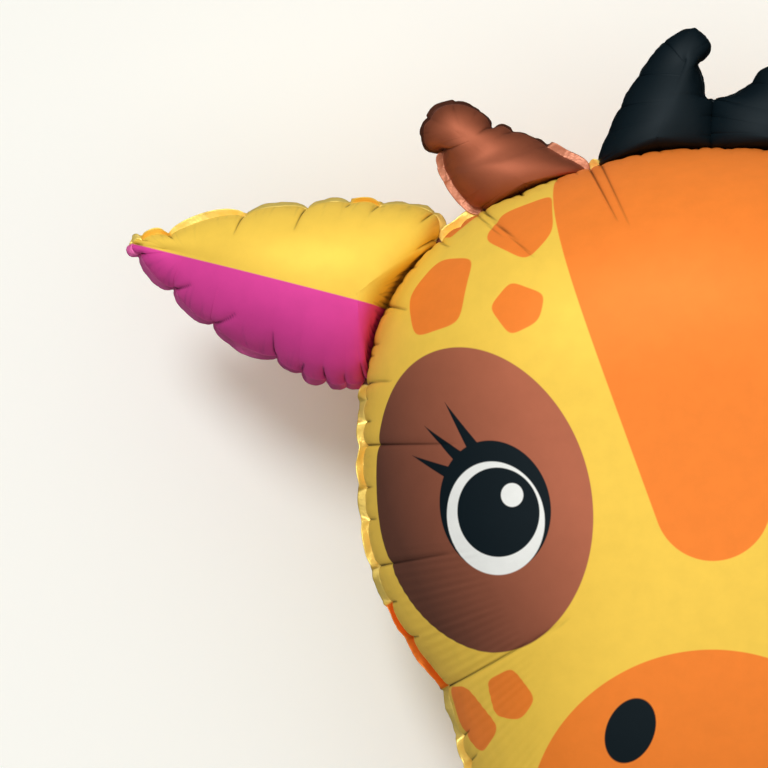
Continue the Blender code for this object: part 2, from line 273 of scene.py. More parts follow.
# The filler neck's grid, where its end starts to round and how far it narrows there, and its
# waves: height in metres, and radians across it and down it. Last, how far rim crinkles show.
NECK_COLUMNS, NECK_LINES = 13, 33
NECK_ROUND_FROM, NECK_ROUNDING = 0.9, 0.25
NECK_WAVE, NECK_WAVE_DOWN = 0.0012, 7
NECK_RIPPLE, NECK_RIPPLE_ACROSS, NECK_RIPPLE_DOWN = 0.0006, 9, 4
NECK_FREEDOM = 0.25

# Offsets that give each lobe a random choice of its own
WELD_SEED, EAR_SEED, HORN_SEED, LEFT_LOCK_SEED, RIGHT_LOCK_SEED = 100, 10, 20, 31, 32
PRINT_SEED = 11

# What sets an ear and a horn apart, besides their sizes
SIDE_LOBES = {
    "ear": {"edges": EAR_EDGES, "base": EAR_BASE, "spine": EAR_SPINE, "swell": EAR_SWELL,
            "folds": EAR_FOLDS, "weld_folds": 11, "folding": 1.0, "tip_pull": SHARP_TIP_PULL},
    "horn": {"edges": HORN_EDGES, "base": HORN_BASE, "spine": HORN_SPINE, "swell": HORN_SWELL,
             "folds": HORN_FOLDS, "weld_folds": 6, "folding": HORN_FOLDING,
             "tip_pull": SMOOTH_TIP_PULL},
}

# The UV map that holds where each point is on the flat sheet
FILM_MAP = "flat_pattern"
# The print, in metres on the flat sheet from the head's middle, with both sides alike. A disc
# or spot is given by its place and radius, and an oval by its place, half axes and tilt.
COAT_SPOTS = ((0.168, 0.232, 0.033), (0.243, 0.166, 0.035), (0.160, 0.148, 0.021),
              (0.171, -0.172, 0.023), (0.226, -0.208, 0.032), (0.196, -0.300, 0.030),
              (0.262, 0.262, 0.022))
# A spot's sides, how far each may turn, in spacings, and stand off, in radii, how round its
# corners are, in radii, and the most that a spot is tilted, in radians
SPOT_SIDES, SPOT_TURN, SPOT_REACH, SPOT_ROUNDING = 5, 0.16, (0.82, 1.12), 0.55
SPOT_TILT = 1.2
# Height and radius of the forehead's low end, then of its high end
FOREHEAD = (-0.010, 0.046, 0.36, 0.172)
MUZZLE = (0.0, -0.298, 0.158, 0.172)
EYE_TILT = math.radians(-16)
EYE_PATCH = (0.204, -0.010, 0.108, 0.128, EYE_TILT)
EYE_EDGE = (0.178, -0.014, 0.049, 0.054, EYE_TILT)
EYE_WHITE = (0.177, -0.023, 0.043, 0.046, EYE_TILT)
PUPIL = (0.174, -0.018, 0.036)
GLINT = (0.161, -0.004, 0.0095)
# Painted shade: which way an eye patch darkens towards its outer, lower side, where the head's
# flank turns away from the light, where that starts, and over what width
PAINTED_PATCH_SHADE = (0.9, -0.45)
PAINTED_PATCH_SHADE_START, PAINTED_PATCH_SHADE_WIDTH = 0.10, 0.17
LASHES = (((0.205, 0.024), (0.243, 0.052)), ((0.213, 0.012), (0.257, 0.028)),
          ((0.194, 0.033), (0.222, 0.071)))
LASH_WIDTH = 0.0055
NOSTRIL = (0.066, -0.192, 0.019, 0.028, math.radians(24))
SMILE = (0.0, -0.235, 0.098)
SMILE_WIDTH, SMILE_TOP = 0.0035, -0.300
# Patches on the back: how many a metre, how unevenly they lie, and half the gap between them
BACK_PATCHES, BACK_UNEVENNESS, BACK_GAP = 9.0, 0.8, 0.085
# Slope, and height in metres on the middle line, of the line between an ear's two colours
EAR_LINE = (0.262, 0.0807)
# The ink's mottle: turns a metre, and its least and most brightness
MOTTLE_SCALE, MOTTLE_TONE = 60.0, (0.97, 1.03)
# Height and size in metres of the grain in a rim
RIM_GRAIN, RIM_GRAIN_GAP = 0.0006, 0.004

# Finish of the floor's paper, then the floor's half side and the camera's far limit, in metres,
# and its sensor in millimetres
PAPER_ROUGHNESS, PAPER_SHEEN = 0.9, 0.1
FLOOR_HALF = 30.0
FAR_LIMIT = 50
SENSOR_WIDTH = 36.0


def srgb(red, green, blue):
    """A colour given in the screen's 0 to 255, as the light that it stands for."""
    return tuple(((share + 0.055) / 1.055) ** 2.4 if share > 0.04045 else share / 12.92
                 for share in (red / 255, green / 255, blue / 255))


def size(name, default, description):
    """A length that the sidebar shows."""
    return FloatProperty(name=name, default=default, description=description,
                         unit="LENGTH", subtype="DISTANCE", precision=4)


def share(name, default, description):
    """A plain number that the sidebar shows."""
    return FloatProperty(name=name, default=default, description=description, precision=3)


def colour(name, default, description):
    """A colour that the sidebar shows, given in the screen's 0 to 255."""
    return tint(name, srgb(*default), description)


def tint(name, default, description):
    """The colour of a light, which the sidebar shows."""
    return FloatVectorProperty(name=name, default=default, description=description,
                               subtype="COLOR", min=0, max=1)


def angle(name, degrees, description):
    """An angle that the sidebar shows."""
    return FloatProperty(name=name, default=math.radians(degrees), subtype="ANGLE",
                         description=description)


class LobeSizes(PropertyGroup):
    """How large each lobe of the envelope is."""
    head_width: size("Head width", 0.586, "Between the head's side seams")
    head_height: size("Head height", 0.674, "From the chin to the crown")
    head_depth: size("Head depth", 0.352, "Through the head if its back were not flattened")
    flat_spot: size("Flat spot", 0.150, "Across the flat spot that the balloon lies on")
    ear_length: size("Ear length", 0.243, "From the ear's weld to its tip")
    ear_width: size("Ear width", 0.147, "Along the ear's weld")
    ear_depth: size("Ear depth", 0.126, "Through the ear")
    ear_lap: size("Ear lap", 0.014, "How far the ear's own line starts inside the head")
    ear_lift: angle("Ear lift", 13.7, "How far the ear's own line leans up")
    horn_length: size("Horn length", 0.108, "From the horn's weld to its knob's end")
    horn_width: size("Horn width", 0.080, "Across the horn's stem")
    horn_depth: size("Horn depth", 0.066, "Through the horn")
    horn_lap: size("Horn lap", 0.004, "How far the horn's own line starts inside the head")
    horn_lift: angle("Horn lift", 35.6, "How far the horn's own line leans up")
    mane_width: size("Mane width", 0.189, "Across both locks of the mane")
    mane_height: size("Mane height", 0.095, "From the crown to the locks' tips")
    mane_depth: size("Mane depth", 0.074, "Through a lock of the mane")
    head_fullness: share("Head fullness", 2.87, "2 is an ellipse across the head, more is fuller")
    lobe_fullness: share("Lobe fullness", 2.2, "2 is an ellipse across a lobe, more is fuller")


class FilmShape(PropertyGroup):
    """Folds, creases and rims of the film."""
    head_pinch: size("Head pinch", 0.0024, "How far a full fold pulls the head's seam in")
    ear_pinch: size("Ear pinch", 0.0034, "How far a full fold pulls an ear's seam in")
    horn_pinch: size("Horn pinch", 0.0012, "How far a full fold pulls a horn's seam in")
    mane_pinch: size("Mane pinch", 0.0008, "How far a full fold pulls the mane's seam in")
    puff_reach: size("Puff reach", 0.012, "How far in the seam's scallops fade out")
    seam_sway: size("Seam sway", 0.0020, "How far the seam wanders up and down")
    fold_depth: size("Fold depth", 0.0018, "Depth of a fold's crease at the seam")
    fold_reach: size("Fold reach", 0.007, "How far in a fold's deep end fades out")
    crease_depth: size("Crease depth", 0.0032, "Depth of a long crease past the fold")
    crease_width: size("Crease width", 0.0014, "Half width of a crease")
    pucker_gap: size("Pucker gap", 0.0085, "Mean spacing of the fine puckers along the seam")
    pucker_depth: size("Pucker depth", 0.0010, "Depth of a fine pucker")
    flute_depth: size("Flute depth", 0.0007, "Depth of the broad flutes that run in from the seam")
    weld_gap: size("Weld gap", -0.0015, "Between the seams of a lobe and the head")
    weld_strip: size("Weld strip", 0.0015, "Width of the flat weld that joins a lobe to the head")
    rim_width: size("Rim width", 0.0078, "Width of the head's weld rim")
    ear_rim: size("Ear rim", 0.0066, "Width of an ear's weld rim")
    horn_rim: size("Horn rim", 0.0066, "Width of a horn's weld rim")
    mane_rim: size("Mane rim", 0.0026, "Width of the mane's weld rim")
    ripple_depth: size("Ripple depth", 0.00022, "Depth of the cheeks' fine ripples")
    ripple_gap: size("Ripple gap", 0.0085, "Spacing of the cheeks' fine ripples")
    rim_thickness: size("Rim thickness", 0.0005, "Thickness of the two welded sheets")
    rim_crinkle: size("Rim crinkle", 0.0010, "Height of the crinkles pressed into the rim")
    rim_crinkle_size: size("Rim crinkle size", 0.007, "Length of the crinkles in the rim")
    film_crinkle: size("Film crinkle", 0.0004, "Height of the crinkles beside the seam")
    film_crinkle_size: size("Film crinkle size", 0.010, "Length of the crinkles beside the seam")
    film_dent: size("Film dent", 0.0006, "Height of the broad unevenness of the skin")
    film_dent_size: size("Film dent size", 0.13, "Length of the broad unevenness of the skin")
    neck_width: size("Neck width", 0.026, "Width of the filler neck")
    neck_length: size("Neck length", 0.048, "Length of the filler neck below the rim")
    seed: IntProperty(name="Seed", default=7, description="Choice of the random folds")


class PrintColours(PropertyGroup):
    """Inks of the print, and the look of the foil under them."""
    yellow: colour("Yellow", (250, 208, 84), "Ground of the face and upper half of the ears")
    orange: colour("Orange", (250, 136, 52), "Forehead, muzzle and spots")
    brown: colour("Brown", (184, 106, 80), "Patches round the eyes")
    # Painted shade: the eye patches darken to this towards their outer, lower side, where the head's
    # flank turns from the light
    painted_shade_brown: colour("Dark brown", (104, 64, 52), "Outer edge of those patches")
    horn: colour("Horn brown", (156, 87, 63), "Horns")
    navy: colour("Navy", (12, 26, 34), "Eyes, nostrils and mane")
    white: colour("White", (246, 248, 250), "Whites and glints of the eyes")
    magenta: colour("Magenta", (230, 72, 166), "Lower half of the ears")
    pink: colour("Pink", (234, 108, 180), "Weld rim of the ears' lower edges")
    gold: colour("Gold", (250, 220, 120), "Weld rim of the head and of the ears' upper edges")
    copper: colour("Copper", (196, 126, 98), "Weld rim of the horns where it lies flat")
    # Umber is also painted shade, on the head's weld strips deep in the grooves between the head and
    # its lobes
    umber_and_painted_shade: colour("Umber", (96, 52, 38), "Weld rim of the horns where it is bent down")
    metal: share("Metal", 0.16, "How much of the foil's metal shows through the ink")
    horn_metal: share("Horn metal", 0.55, "The same for the horns")
    sheen: share("Sheen", 0.14, "How strongly the ink's own surface shines")
    roughness: share("Roughness", 0.52, "Satin of the printed film")
    rim_metal: share("Rim metal", 0.50, "How much of the foil's metal shows in the rims")
    rim_roughness: share("Rim roughness", 0.42, "Gloss of the rims")


class Studio(PropertyGroup):
    """Where the camera and the lights are."""
    view_width: size("View width", 0.6487, "Width that the picture shows at the seam")
    aim_x: size("Aim X", -0.2762, "Middle of the picture, across")
    aim_y: size("Aim Y", 0.0895, "Middle of the picture, up the head")
    camera_height: size("Camera height", 3.1, "Camera above the seam")
    key_tilt: angle("Key tilt", 29, "Key light away from straight above")
    key_turn: angle("Key turn", 106, "Key light's bearing, anticlockwise from +X")
    key_spread: angle("Key spread", 18, "How wide the key light looks from the floor")
    key_strength: share("Key strength", 1.42, "Light that the key sends, in watts a square metre")
    key_tint: tint("Key tint", (0.94, 0.995, 1.0), "Colour of the key light")
    fill_tilt: angle("Fill tilt", 18, "Middle of the soft light away from straight above")
    fill_turn: angle("Fill turn", 72, "Soft light's bearing, anticlockwise from +X")
    fill_spread: angle("Fill spread", 112, "How wide the soft light overhead looks")
    fill_strength: share("Fill strength", 2.02, "Light from overhead, in watts a square metre")
    fill_tint: tint("Fill tint", (1.0, 0.945, 0.83), "Colour of the soft light")
    room: share("Room", 0.92, "Brightness of the pale room behind the floor")
    room_tint: tint("Room tint", (1.0, 0.985, 0.95), "Colour of that room")
    floor_colour: colour("Floor", (251, 252, 253), "Pale paper floor")


def curve_through(points):
    """A smooth curve through the points, as closely spaced ones."""
    points = [np.array(point, dtype=float) for point in points]
    ends = [2 * points[0] - points[1], *points, 2 * points[-1] - points[-2]]
    curve = []
    for before, start, end, after in zip(ends, ends[1:], ends[2:], ends[3:]):
        for t in np.linspace(0, 1, CURVE_STEPS, endpoint=False):
            curve.append(0.5 * (2 * start + (end - before) * t
                                + (2 * before - 5 * start + 4 * end - after) * t ** 2
                                + (3 * start - before - 3 * end + after) * t ** 3))
    return np.array([*curve, points[-1]])


def line_runs(points):
    """How far along the line each point is."""
    steps = np.linalg.norm(np.diff(points, axis=0), axis=1)
    return np.concatenate([[0], np.cumsum(steps)])


def at_shares(curve, shares):
    """Points at these shares of a curve's length."""
    runs = line_runs(curve)
    wanted = np.array(shares) * runs[-1]
    return np.column_stack([np.interp(wanted, runs, curve[:, axis]) for axis in (0, 1)])


def beside(curve, shares, gap):
    """Points a gap outside a clockwise curve, at these shares of its length."""
    step = 0.003
    ways = at_shares(curve, np.array(shares) + step) - at_shares(curve, np.array(shares) - step)
    outward = np.column_stack([-ways[:, 1], ways[:, 0]])
    return at_shares(curve, shares) + gap * outward / np.linalg.norm(outward, axis=1)[:, None]


def closed_wave(runs, length, gap, chance):
    """A smooth random wave round a closed line, from -1 to 1, that turns about every gap."""
    count = max(4, round(length / gap))
    heights = chance.uniform(-1, 1, count)
    place = runs / length * count
    whole = np.floor(place).astype(int)
    part = place - whole
    part = part * part * (3 - 2 * part)
    return heights[whole % count] * (1 - part) + heights[(whole + 1) % count] * part


def along_line(wanted, runs, length, points):
    """Points this far round a closed line."""
    ring = np.append(runs, length)
    return np.column_stack([np.interp(wanted, ring, np.append(axis, axis[0])) for axis in points.T])


def softened(values, width):
    """Values round a closed line, smoothed over this many points."""
    waves = np.fft.rfftfreq(len(values))
    kept = np.exp(-2 * (math.pi * waves * width) ** 2)
    kept = kept.reshape((-1,) + (1,) * (values.ndim - 1))
    return np.fft.irfft(np.fft.rfft(values, axis=0) * kept, len(values), axis=0)


def weld_folds(start, end, count, chance):
    """Small folds side by side along a weld, each given as the other folds are."""
    gap = (end - start) / (count + 1)
    return [(start + gap * (k + 1 + chance.uniform(-WELD_FOLD_SHIFT, WELD_FOLD_SHIFT)),
             chance.uniform(*WELD_FOLD_REACH), chance.uniform(-WELD_FOLD_LEAN, WELD_FOLD_LEAN),
             WELD_PULL * chance.uniform(*WELD_PULL_SPREAD), 0)
            for k in range(count)]


def smooth_step(values, start, end):
    """0 before the start, 1 past the end, and a smooth rise between them."""
    part = np.clip((values - start) / (end - start), 0, 1)
    return part * part * (3 - 2 * part)


class Lobe:
    """One lobe's seam line and all that its skin and its rim both follow.

    The seam runs anticlockwise and its points are crowded towards the folds. Point k on one
    edge pairs with point -k on the other, so that both edges' sections meet on the spine.
    """

    def __init__(self, name, edges, folds, welds, spine, half_depths, form, **kind):
        self.name, self.form = name, form
        self.pinch, self.flat_share = kind["pinch"], kind.get("flat_share", 0.0)
        self.fullness_exponent, self.thin_at = kind["fullness"], kind["thin_at"]
        self.weld_strip, self.rim_width = kind["weld_strip"], kind["rim_width"]
        self.folding, self.ripples = kind["folding"], kind.get("ripples")
        self.tip_pull = kind.get("tip_pull", SMOOTH_TIP_PULL)
        self.form_ease = kind.get("form_ease", LOBE_FORM_EASE)
        self.rim_ease = kind.get("rim_ease", LOBE_RIM_EASE)
        self.rim_taper = kind.get("rim_taper", LOBE_RIM_TAPER)
        self.chance = np.random.default_rng(kind["seed"])
        curves = [curve_through(edge) for edge in edges]
        stops = [np.array([0.0, *[fold[0] for fold in side], 1.0]) for side in folds]
        lengths = [line_runs(curve)[-1] for curve in curves]
        spans = np.mean([np.diff(stop) * length for stop, length in zip(stops, lengths)], axis=0)
        counts = [4 * max(1, round(span / kind["spacing"] / 4)) for span in spans]
        halves = [self._edge(curve, stop, counts, [0, *[fold[4] for fold in side]])
                  for curve, stop, side in zip(curves, stops, folds)]
        joined = [np.concatenate([out, back[-2:0:-1]]) for out, back in zip(*halves)]
        self.points, self.phase, self.share, self.lean = joined
        self.count = len(self.points)
        half = self.count // 2
        self.way = np.where(np.arange(self.count) <= half, 1, -1)
        following = np.roll(self.points, -1, axis=0)
        turned = np.sum(self.points[:, 0] * following[:, 1] - self.points[:, 1] * following[:, 0])
        self.reverse = turned < 0
        if self.reverse:
            for word in ("points", "phase", "share", "lean", "way"):
                setattr(self, word, np.roll(getattr(self, word)[::-1], 1, axis=0))
        runs = line_runs(np.concatenate([self.points, self.points[:1]]))
        self.runs, self.length = runs[:-1], runs[-1]
        self.welded = np.zeros(self.count)
        for way, stretches in zip((1, -1), welds):
            for start, end in stretches:
                inside = (self.way == way) & (self.share >= start) & (self.share <= end)
                self.welded[inside] = 1.0
        self._folds(folds, counts)
        self._spine(spine, half_depths)

    @staticmethod
    def _edge(curve, stops, counts, leans):
        """Points on an edge, with each one's place in its scallop, share and rim's lean."""
        shares, phases, bends = [], [], []
        for start, end, count, lean in zip(stops, stops[1:], counts, leans):
            even = np.arange(count) / count
            crowded = (1 - np.cos(np.pi * even)) / 2
            phase = POINT_EVENNESS * even + (1 - POINT_EVENNESS) * crowded
            shares.extend(start + (end - start) * phase)
            phases.extend(phase)
            bends.extend([lean] * count)
        shares = np.array([*shares, 1.0])
        bends = np.array([*bends, bends[-1]])
        return at_shares(curve, shares), np.array([*phases, 1.0]), shares, bends

    def _folds(self, folds, counts):
        """Where each fold is on the closed seam, and how hard it pulls there."""
        places = np.cumsum([0, *counts])
        half = places[-1]
        found = {0: (END_FOLD_REACH, 0.0, WELD_PULL), half: (END_FOLD_REACH, 0.0, self.tip_pull)}
        for side, sign in zip(folds, (1, -1)):
            for place, fold in zip(places[1:-1], side):
                found[int(sign * place) % self.count] = fold[1:4]
        flip = -1 if self.reverse else 1
        self.folds = sorted(((flip * place) % self.count, *fold) for place, fold in found.items())
        at_folds = np.array([fold[0] for fold in self.folds] + [self.count])
        pulls = [fold[3] * self.chance.uniform(*PULL_SPREAD) for fold in self.folds]
        sways = self.chance.uniform(*SWAY_SPREAD, len(self.folds))
        sways *= np.where(np.arange(len(sways)) % 2, 1, -1) * np.minimum(1, pulls)
        index = np.arange(self.count)
        self.pull = np.interp(index, at_folds, [*pulls, pulls[0]]) * (1 - self.fullness())
        scallop = np.searchsorted(at_folds, index, side="right") - 1
        rising = self.way == (-1 if self.reverse else 1)
        turn = (1 - np.cos(np.pi * np.where(rising, self.phase, 1 - self.phase))) / 2
        ends = np.array([*sways, sways[0]])
        self.sway = ends[scallop] * (1 - turn) + ends[scallop + 1] * turn

    def _spine(self, spine, half_depths):
        """Where each point's section ends on the spine, and how deep the lobe is there."""
        start, way = np.array(spine[0]), np.array(spine[1]) - np.array(spine[0])
        middles = (self.points + self.points[(-np.arange(self.count)) % self.count]) / 2
        place = (middles - start) @ way / (way @ way)
        place = (np.hypot(place, SPINE_EASE) - np.hypot(place - 1, SPINE_EASE) + 1) / 2
        self.anchors = start + place[:, None] * way
        last = max(1, len(half_depths) - 1)
        swell = [(number / last, depth) for number, depth in enumerate(half_depths)]
        swell = curve_through(swell if len(swell) > 1 else swell + [(1.0, half_depths[0])])
        self.half_depth = np.interp(place, swell[:, 0], swell[:, 1])

    def fullness(self):
        """How full the scallop is at each point: 0 at a fold and 1 half way to the next."""
        return 1 - np.abs(2 * self.phase - 1) ** SCALLOP_SQUARENESS


def section_rings(fullness, count, flat_share):
    """(out, up) from the spine down to the seam, in half widths and half depths."""
    last = math.acos(flat_share ** (fullness / 2))
    turns = last * (np.arange(count + 1) / count) ** RING_CROWDING
    rings = [(math.cos(turn) ** (2 / fullness), math.sin(turn)) for turn in turns]
    if flat_share:
        rings += [(flat_share * row / FLAT_RINGS, math.sin(last))
                  for row in reversed(range(FLAT_RINGS))]
    return rings[::-1]


def film_rows(lobe, seam_height, rings):
    """The smooth blown up form as rows of points, from the front's spine to the back's.

    Further in, a row follows the outline less and less closely, as tight film does.
    """
    front = section_rings(lobe.fullness_exponent, rings, 0.0)
    back = section_rings(lobe.fullness_exponent, rings, lobe.flat_share)
    reach = np.linalg.norm(lobe.points - lobe.anchors, axis=1).mean() * lobe.count / lobe.length
    even = np.arange(EVEN_STEPS * lobe.count + 1) * lobe.length / (EVEN_STEPS * lobe.count)
    outline = along_line(even, lobe.runs, lobe.length, lobe.points)
    rows, bearings = [], []
    for out, up in front + [(out, -up) for out, up in back[::-1][1:]]:
        calm = softened(outline[:-1], EVEN_STEPS * lobe.form_ease * (1 - out) * reach)
        way = along_line(lobe.runs, even[:-1], lobe.length, calm) - lobe.anchors
        heights = seam_height + up * lobe.half_depth
        rows.append(np.column_stack([lobe.anchors + out * way, heights]))
        bearings.append(way / np.linalg.norm(way, axis=1)[:, None])
    lobe.bearings = np.array(bearings)
    return np.array(rows), len(front) - 1


def skin_points(lobe, seam_height, rings):
    """Every point of a lobe's puckered skin, row by row, with how far each row has come."""
    form = lobe.form
    rows, seam = film_rows(lobe, seam_height, rings)
    steps = np.linalg.norm(np.diff(rows, axis=0), axis=2)
    walked = np.concatenate([np.zeros((1, lobe.count)), np.cumsum(steps, axis=0)])
    arc = np.abs(walked - walked[seam])
    plan = np.linalg.norm(rows[:, :, :2] - rows[seam, :, :2], axis=2)
    inward = plan + FLANK_SHARE * (arc - plan)
    along = np.roll(rows, -1, axis=1) - np.roll(rows, 1, axis=1)
    normals = np.cross(np.gradient(rows, axis=0), along)
    sizes = np.linalg.norm(normals, axis=2, keepdims=True)
    normals = np.divide(normals, sizes, out=np.zeros_like(normals), where=sizes > NO_LENGTH)
    paces = np.linalg.norm(np.roll(rows, -1, axis=1) - rows, axis=2)
    around = np.hstack([np.zeros((len(rows), 1)), np.cumsum(paces, axis=1)])
    around[:, -1] += ROUNDING
    fade = np.exp(-inward / form.puff_reach)
    held = 1 - WELD_HOLD * softened(lobe.welded, WELD_EASE)
    sink = held * lobe.pull * lobe.pinch * fade + wrinkles(lobe, inward, around)
    fade_in = np.clip(np.minimum(walked, walked[-1] - walked) / POLE_FADE, 0, 1)
    moved = rows - normals * (sink * fade_in)[:, :, None]
    moved[:, :, 2] += lobe.sway * form.seam_sway * fade
    lobe.seam_line = moved[seam]
    lobe.outward = normals[seam, :, :2] / np.linalg.norm(normals[seam, :, :2], axis=1)[:, None]
    return moved, walked, arc, inward, seam


def wrinkles(lobe, inward, around):
    """How far folds, creases, puckers, ripples and flutes sink the skin."""
    form, chance = lobe.form, lobe.chance
    sink, lobe.shade = np.zeros_like(inward), np.zeros_like(inward)
    past_seam = smooth_step(inward, *CREASE_RISE)
    for place, reach, lean, pull in lobe.folds:
        side = 1 if (place <= lobe.count // 2) != lobe.reverse else -1
        held = 1 - WELD_HOLD * lobe.welded[place]
        depth = held * pull * form.fold_depth * np.exp(-inward / form.fold_reach)
        fading = past_seam * np.clip(1 - inward / reach, 0, 1) ** CREASE_BLUNTNESS
        depth = lobe.folding * (depth + form.crease_depth * min(1, LEAST_CREASE + pull) * fading)
        sink += crease(lobe, inward, around, place, side * lean, depth, reach)
    for start in np.arange(0, lobe.length, form.pucker_gap):
        run = start + chance.uniform(0, form.pucker_gap)
        place = np.searchsorted(lobe.runs, run) % lobe.count
        reach = chance.uniform(*PUCKER_REACH)
        fading = past_seam * np.clip(1 - inward / reach, 0, 1)
        depth = lobe.folding * form.pucker_depth * chance.uniform(*PUCKER_SHARE) * fading
        lean = chance.uniform(-PUCKER_LEAN, PUCKER_LEAN)
        sink += crease(lobe, inward, around, place, lean, depth, reach)
    if lobe.ripples:
        sink += cheek_ripples(lobe, inward)
    for gap, reach, weight in FLUTES:
        wave = closed_wave(lobe.runs, lobe.length, gap, chance)
        sink += form.flute_depth * weight * wave * np.exp(-inward / reach)
    return sink


def cheek_ripples(lobe, inward):
    """How far the cheeks' fine ripples, side by side along the seam, sink the skin."""
    start, end = lobe.ripples
    band = smooth_step(inward, *RIPPLE_RISE) * (1 - smooth_step(inward, *RIPPLE_FADE))
    band *= smooth_step(lobe.share, start, start + CHEEK_EASE)
    band *= 1 - smooth_step(lobe.share, end - CHEEK_EASE, end)
    wander = closed_wave(lobe.runs, lobe.length, RIPPLE_WANDER, lobe.chance)
    ripple = np.sin(2 * math.pi * lobe.runs / lobe.form.ripple_gap + 2 * wander)
    return lobe.form.ripple_depth * band * ripple


def crease(lobe, inward, around, place, lean, depth, reach):
    """One valley that starts at the seam and leans as it runs in."""
    width = lobe.form.crease_width
    aside = (lobe.runs - lobe.runs[place] + lobe.length / 2) % lobe.length - lobe.length / 2
    near = np.abs(aside) < CREASE_LIMIT * width + abs(lean) * 2 * reach
    sink = np.zeros_like(inward)
    whole = around[:, -1:]
    off = (around[:, :-1] - around[:, [place]] + whole / 2) % whole - whole / 2
    off = (off[:, near] - lean * inward[:, near]) / width
    middle, flanks = np.exp(-np.abs(off)), np.exp(-(off / FLANK_WIDTH) ** 2)
    valley = CREASE_SHARPNESS * middle + (1 - CREASE_SHARPNESS) * flanks
    sink[:, near] = depth[:, near] * valley
    # Painted shade: a dark line along the crease's bottom, added to the lobe's shade
    line = np.exp(-(off / PAINTED_SHADE_WIDTH) ** 2)
    lobe.shade[:, near] += depth[:, near] / lobe.form.crease_depth * line
    return sink


def thinned_rows(lobe, arc, seam):
    """How many points each row skips: none beside the seam and more towards the spine."""
    skips = []
    for row, mean in enumerate(arc.mean(axis=1)):
        scale = 1.0 if row <= seam else BACK_THINNING
        first, second = (scale * limit for limit in lobe.thin_at)
        skips.append(1 if mean < first else 2 if mean < second else 4)
    return skips


def between_rows(upper, lower):
    """Faces that join two rows, one of which may have half the points of the other."""
    faces = []
    if len(upper) == len(lower):
        for k in range(len(upper)):
            n = (k + 1) % len(upper)
            faces.append((upper[k], lower[k], lower[n], upper[n]))
    elif len(upper) < len(lower):
        for k in range(len(upper)):
            n, a, b = (k + 1) % len(upper), 2 * k, 2 * k + 1
            c = (2 * k + 2) % len(lower)
            faces += [(upper[k], lower[a], lower[b]), (upper[k], lower[b], upper[n]),
                      (upper[n], lower[b], lower[c])]
    else:
        for k in range(len(lower)):
            n, a, b = (k + 1) % len(lower), 2 * k, 2 * k + 1
            c = (2 * k + 2) % len(upper)
            faces += [(upper[a], lower[k], upper[b]), (upper[b], lower[k], lower[n]),
                      (upper[b], lower[n], upper[c])]
    return faces


def skin_mesh(lobe, seam_height, rings):
    """A lobe's skin, with the attributes that its node tree and its print read."""
    points, walked, arc, inward, seam = skin_points(lobe, seam_height, rings)
    skips = thinned_rows(lobe, arc, seam)
    kept, rows, total = [], [], 0
    for row, skip in enumerate(skips):
        chosen = np.arange(0, lobe.count, skip)
        kept.append((row, chosen))
        rows.append(range(total, total + len(chosen)))
        total += len(chosen)
    faces, front = [], []
    for row, (upper, lower) in enumerate(zip(rows, rows[1:])):
        made = between_rows(upper, lower)
        faces += made
        front += [row < seam] * len(made)
    mesh = bpy.data.meshes.new(lobe.name)
    places = np.concatenate([points[row, chosen] for row, chosen in kept])
    mesh.from_pydata(places.tolist(), [], faces)
    spans = np.where(np.arange(len(walked))[:, None] <= seam, walked, walked[-1] - walked)
    flat = lobe.anchors + spans[:, :, None] * lobe.bearings
    turn = 2 * math.pi * lobe.runs / lobe.length
    ring = lobe.length / (2 * math.pi)
    around = np.column_stack([ring * np.cos(turn), ring * np.sin(turn)])
    film = np.dstack([np.broadcast_to(around, (*arc.shape, 2)), CRINKLE_STRETCH * arc])
    rest = np.zeros_like(arc)
    if lobe.flat_share:
        rest[-FLAT_RINGS - 1:] = 1
    calm = np.clip(spans / CALM_REACH, 0, 1) * (1 - rest)
    weights = {
        "film": ("FLOAT_VECTOR", "vector", film),
        "crinkle": ("FLOAT", "value", np.exp(-inward / CRINKLE_REACH) * calm),
        "dent": ("FLOAT", "value", (1 - np.exp(-arc / DENT_START)) * calm),
        # Painted shade for the creases' bottoms, which the print darkens the ink by
        "painted_fold_shade": ("FLOAT", "value", np.clip(lobe.shade, 0, 1)),
    }
    for word, (kind, field, values) in weights.items():
        attribute = mesh.attributes.new(word, kind, "POINT")
        chosen = np.concatenate([values[row, picks] for row, picks in kept])
        attribute.data.foreach_set(field, chosen.astype(np.float32).ravel())
    mesh.attributes.new("front", "BOOLEAN", "FACE").data.foreach_set("value", front)
    corners = np.zeros(len(mesh.loops), dtype=int)
    mesh.loops.foreach_get("vertex_index", corners)
    flats = np.concatenate([flat[row, chosen] for row, chosen in kept])
    layer = mesh.uv_layers.new(name=FILM_MAP, do_init=False)
    layer.uv.foreach_set("vector", flats[corners].astype(np.float32).ravel())
    return mesh


def new_node(tree, kind, settings, inputs):
    """A new node with these settings, and its inputs linked or set.

    An input goes by its number, as in_0, or by its name with the spaces left out.
    """
    node = tree.nodes.new(kind)
    for word, value in (settings or {}).items():
        setattr(node, word, value)
    for word, value in inputs.items():
        if word.startswith("in_"):
            slot = node.inputs[int(word[3:])]
        else:
            slot = next(slot for slot in node.inputs
                        if slot.enabled and slot.name.replace(" ", "") == word)
        if isinstance(value, bpy.types.NodeSocket):
            tree.links.new(value, slot)
        else:
            slot.default_value = value
    return node


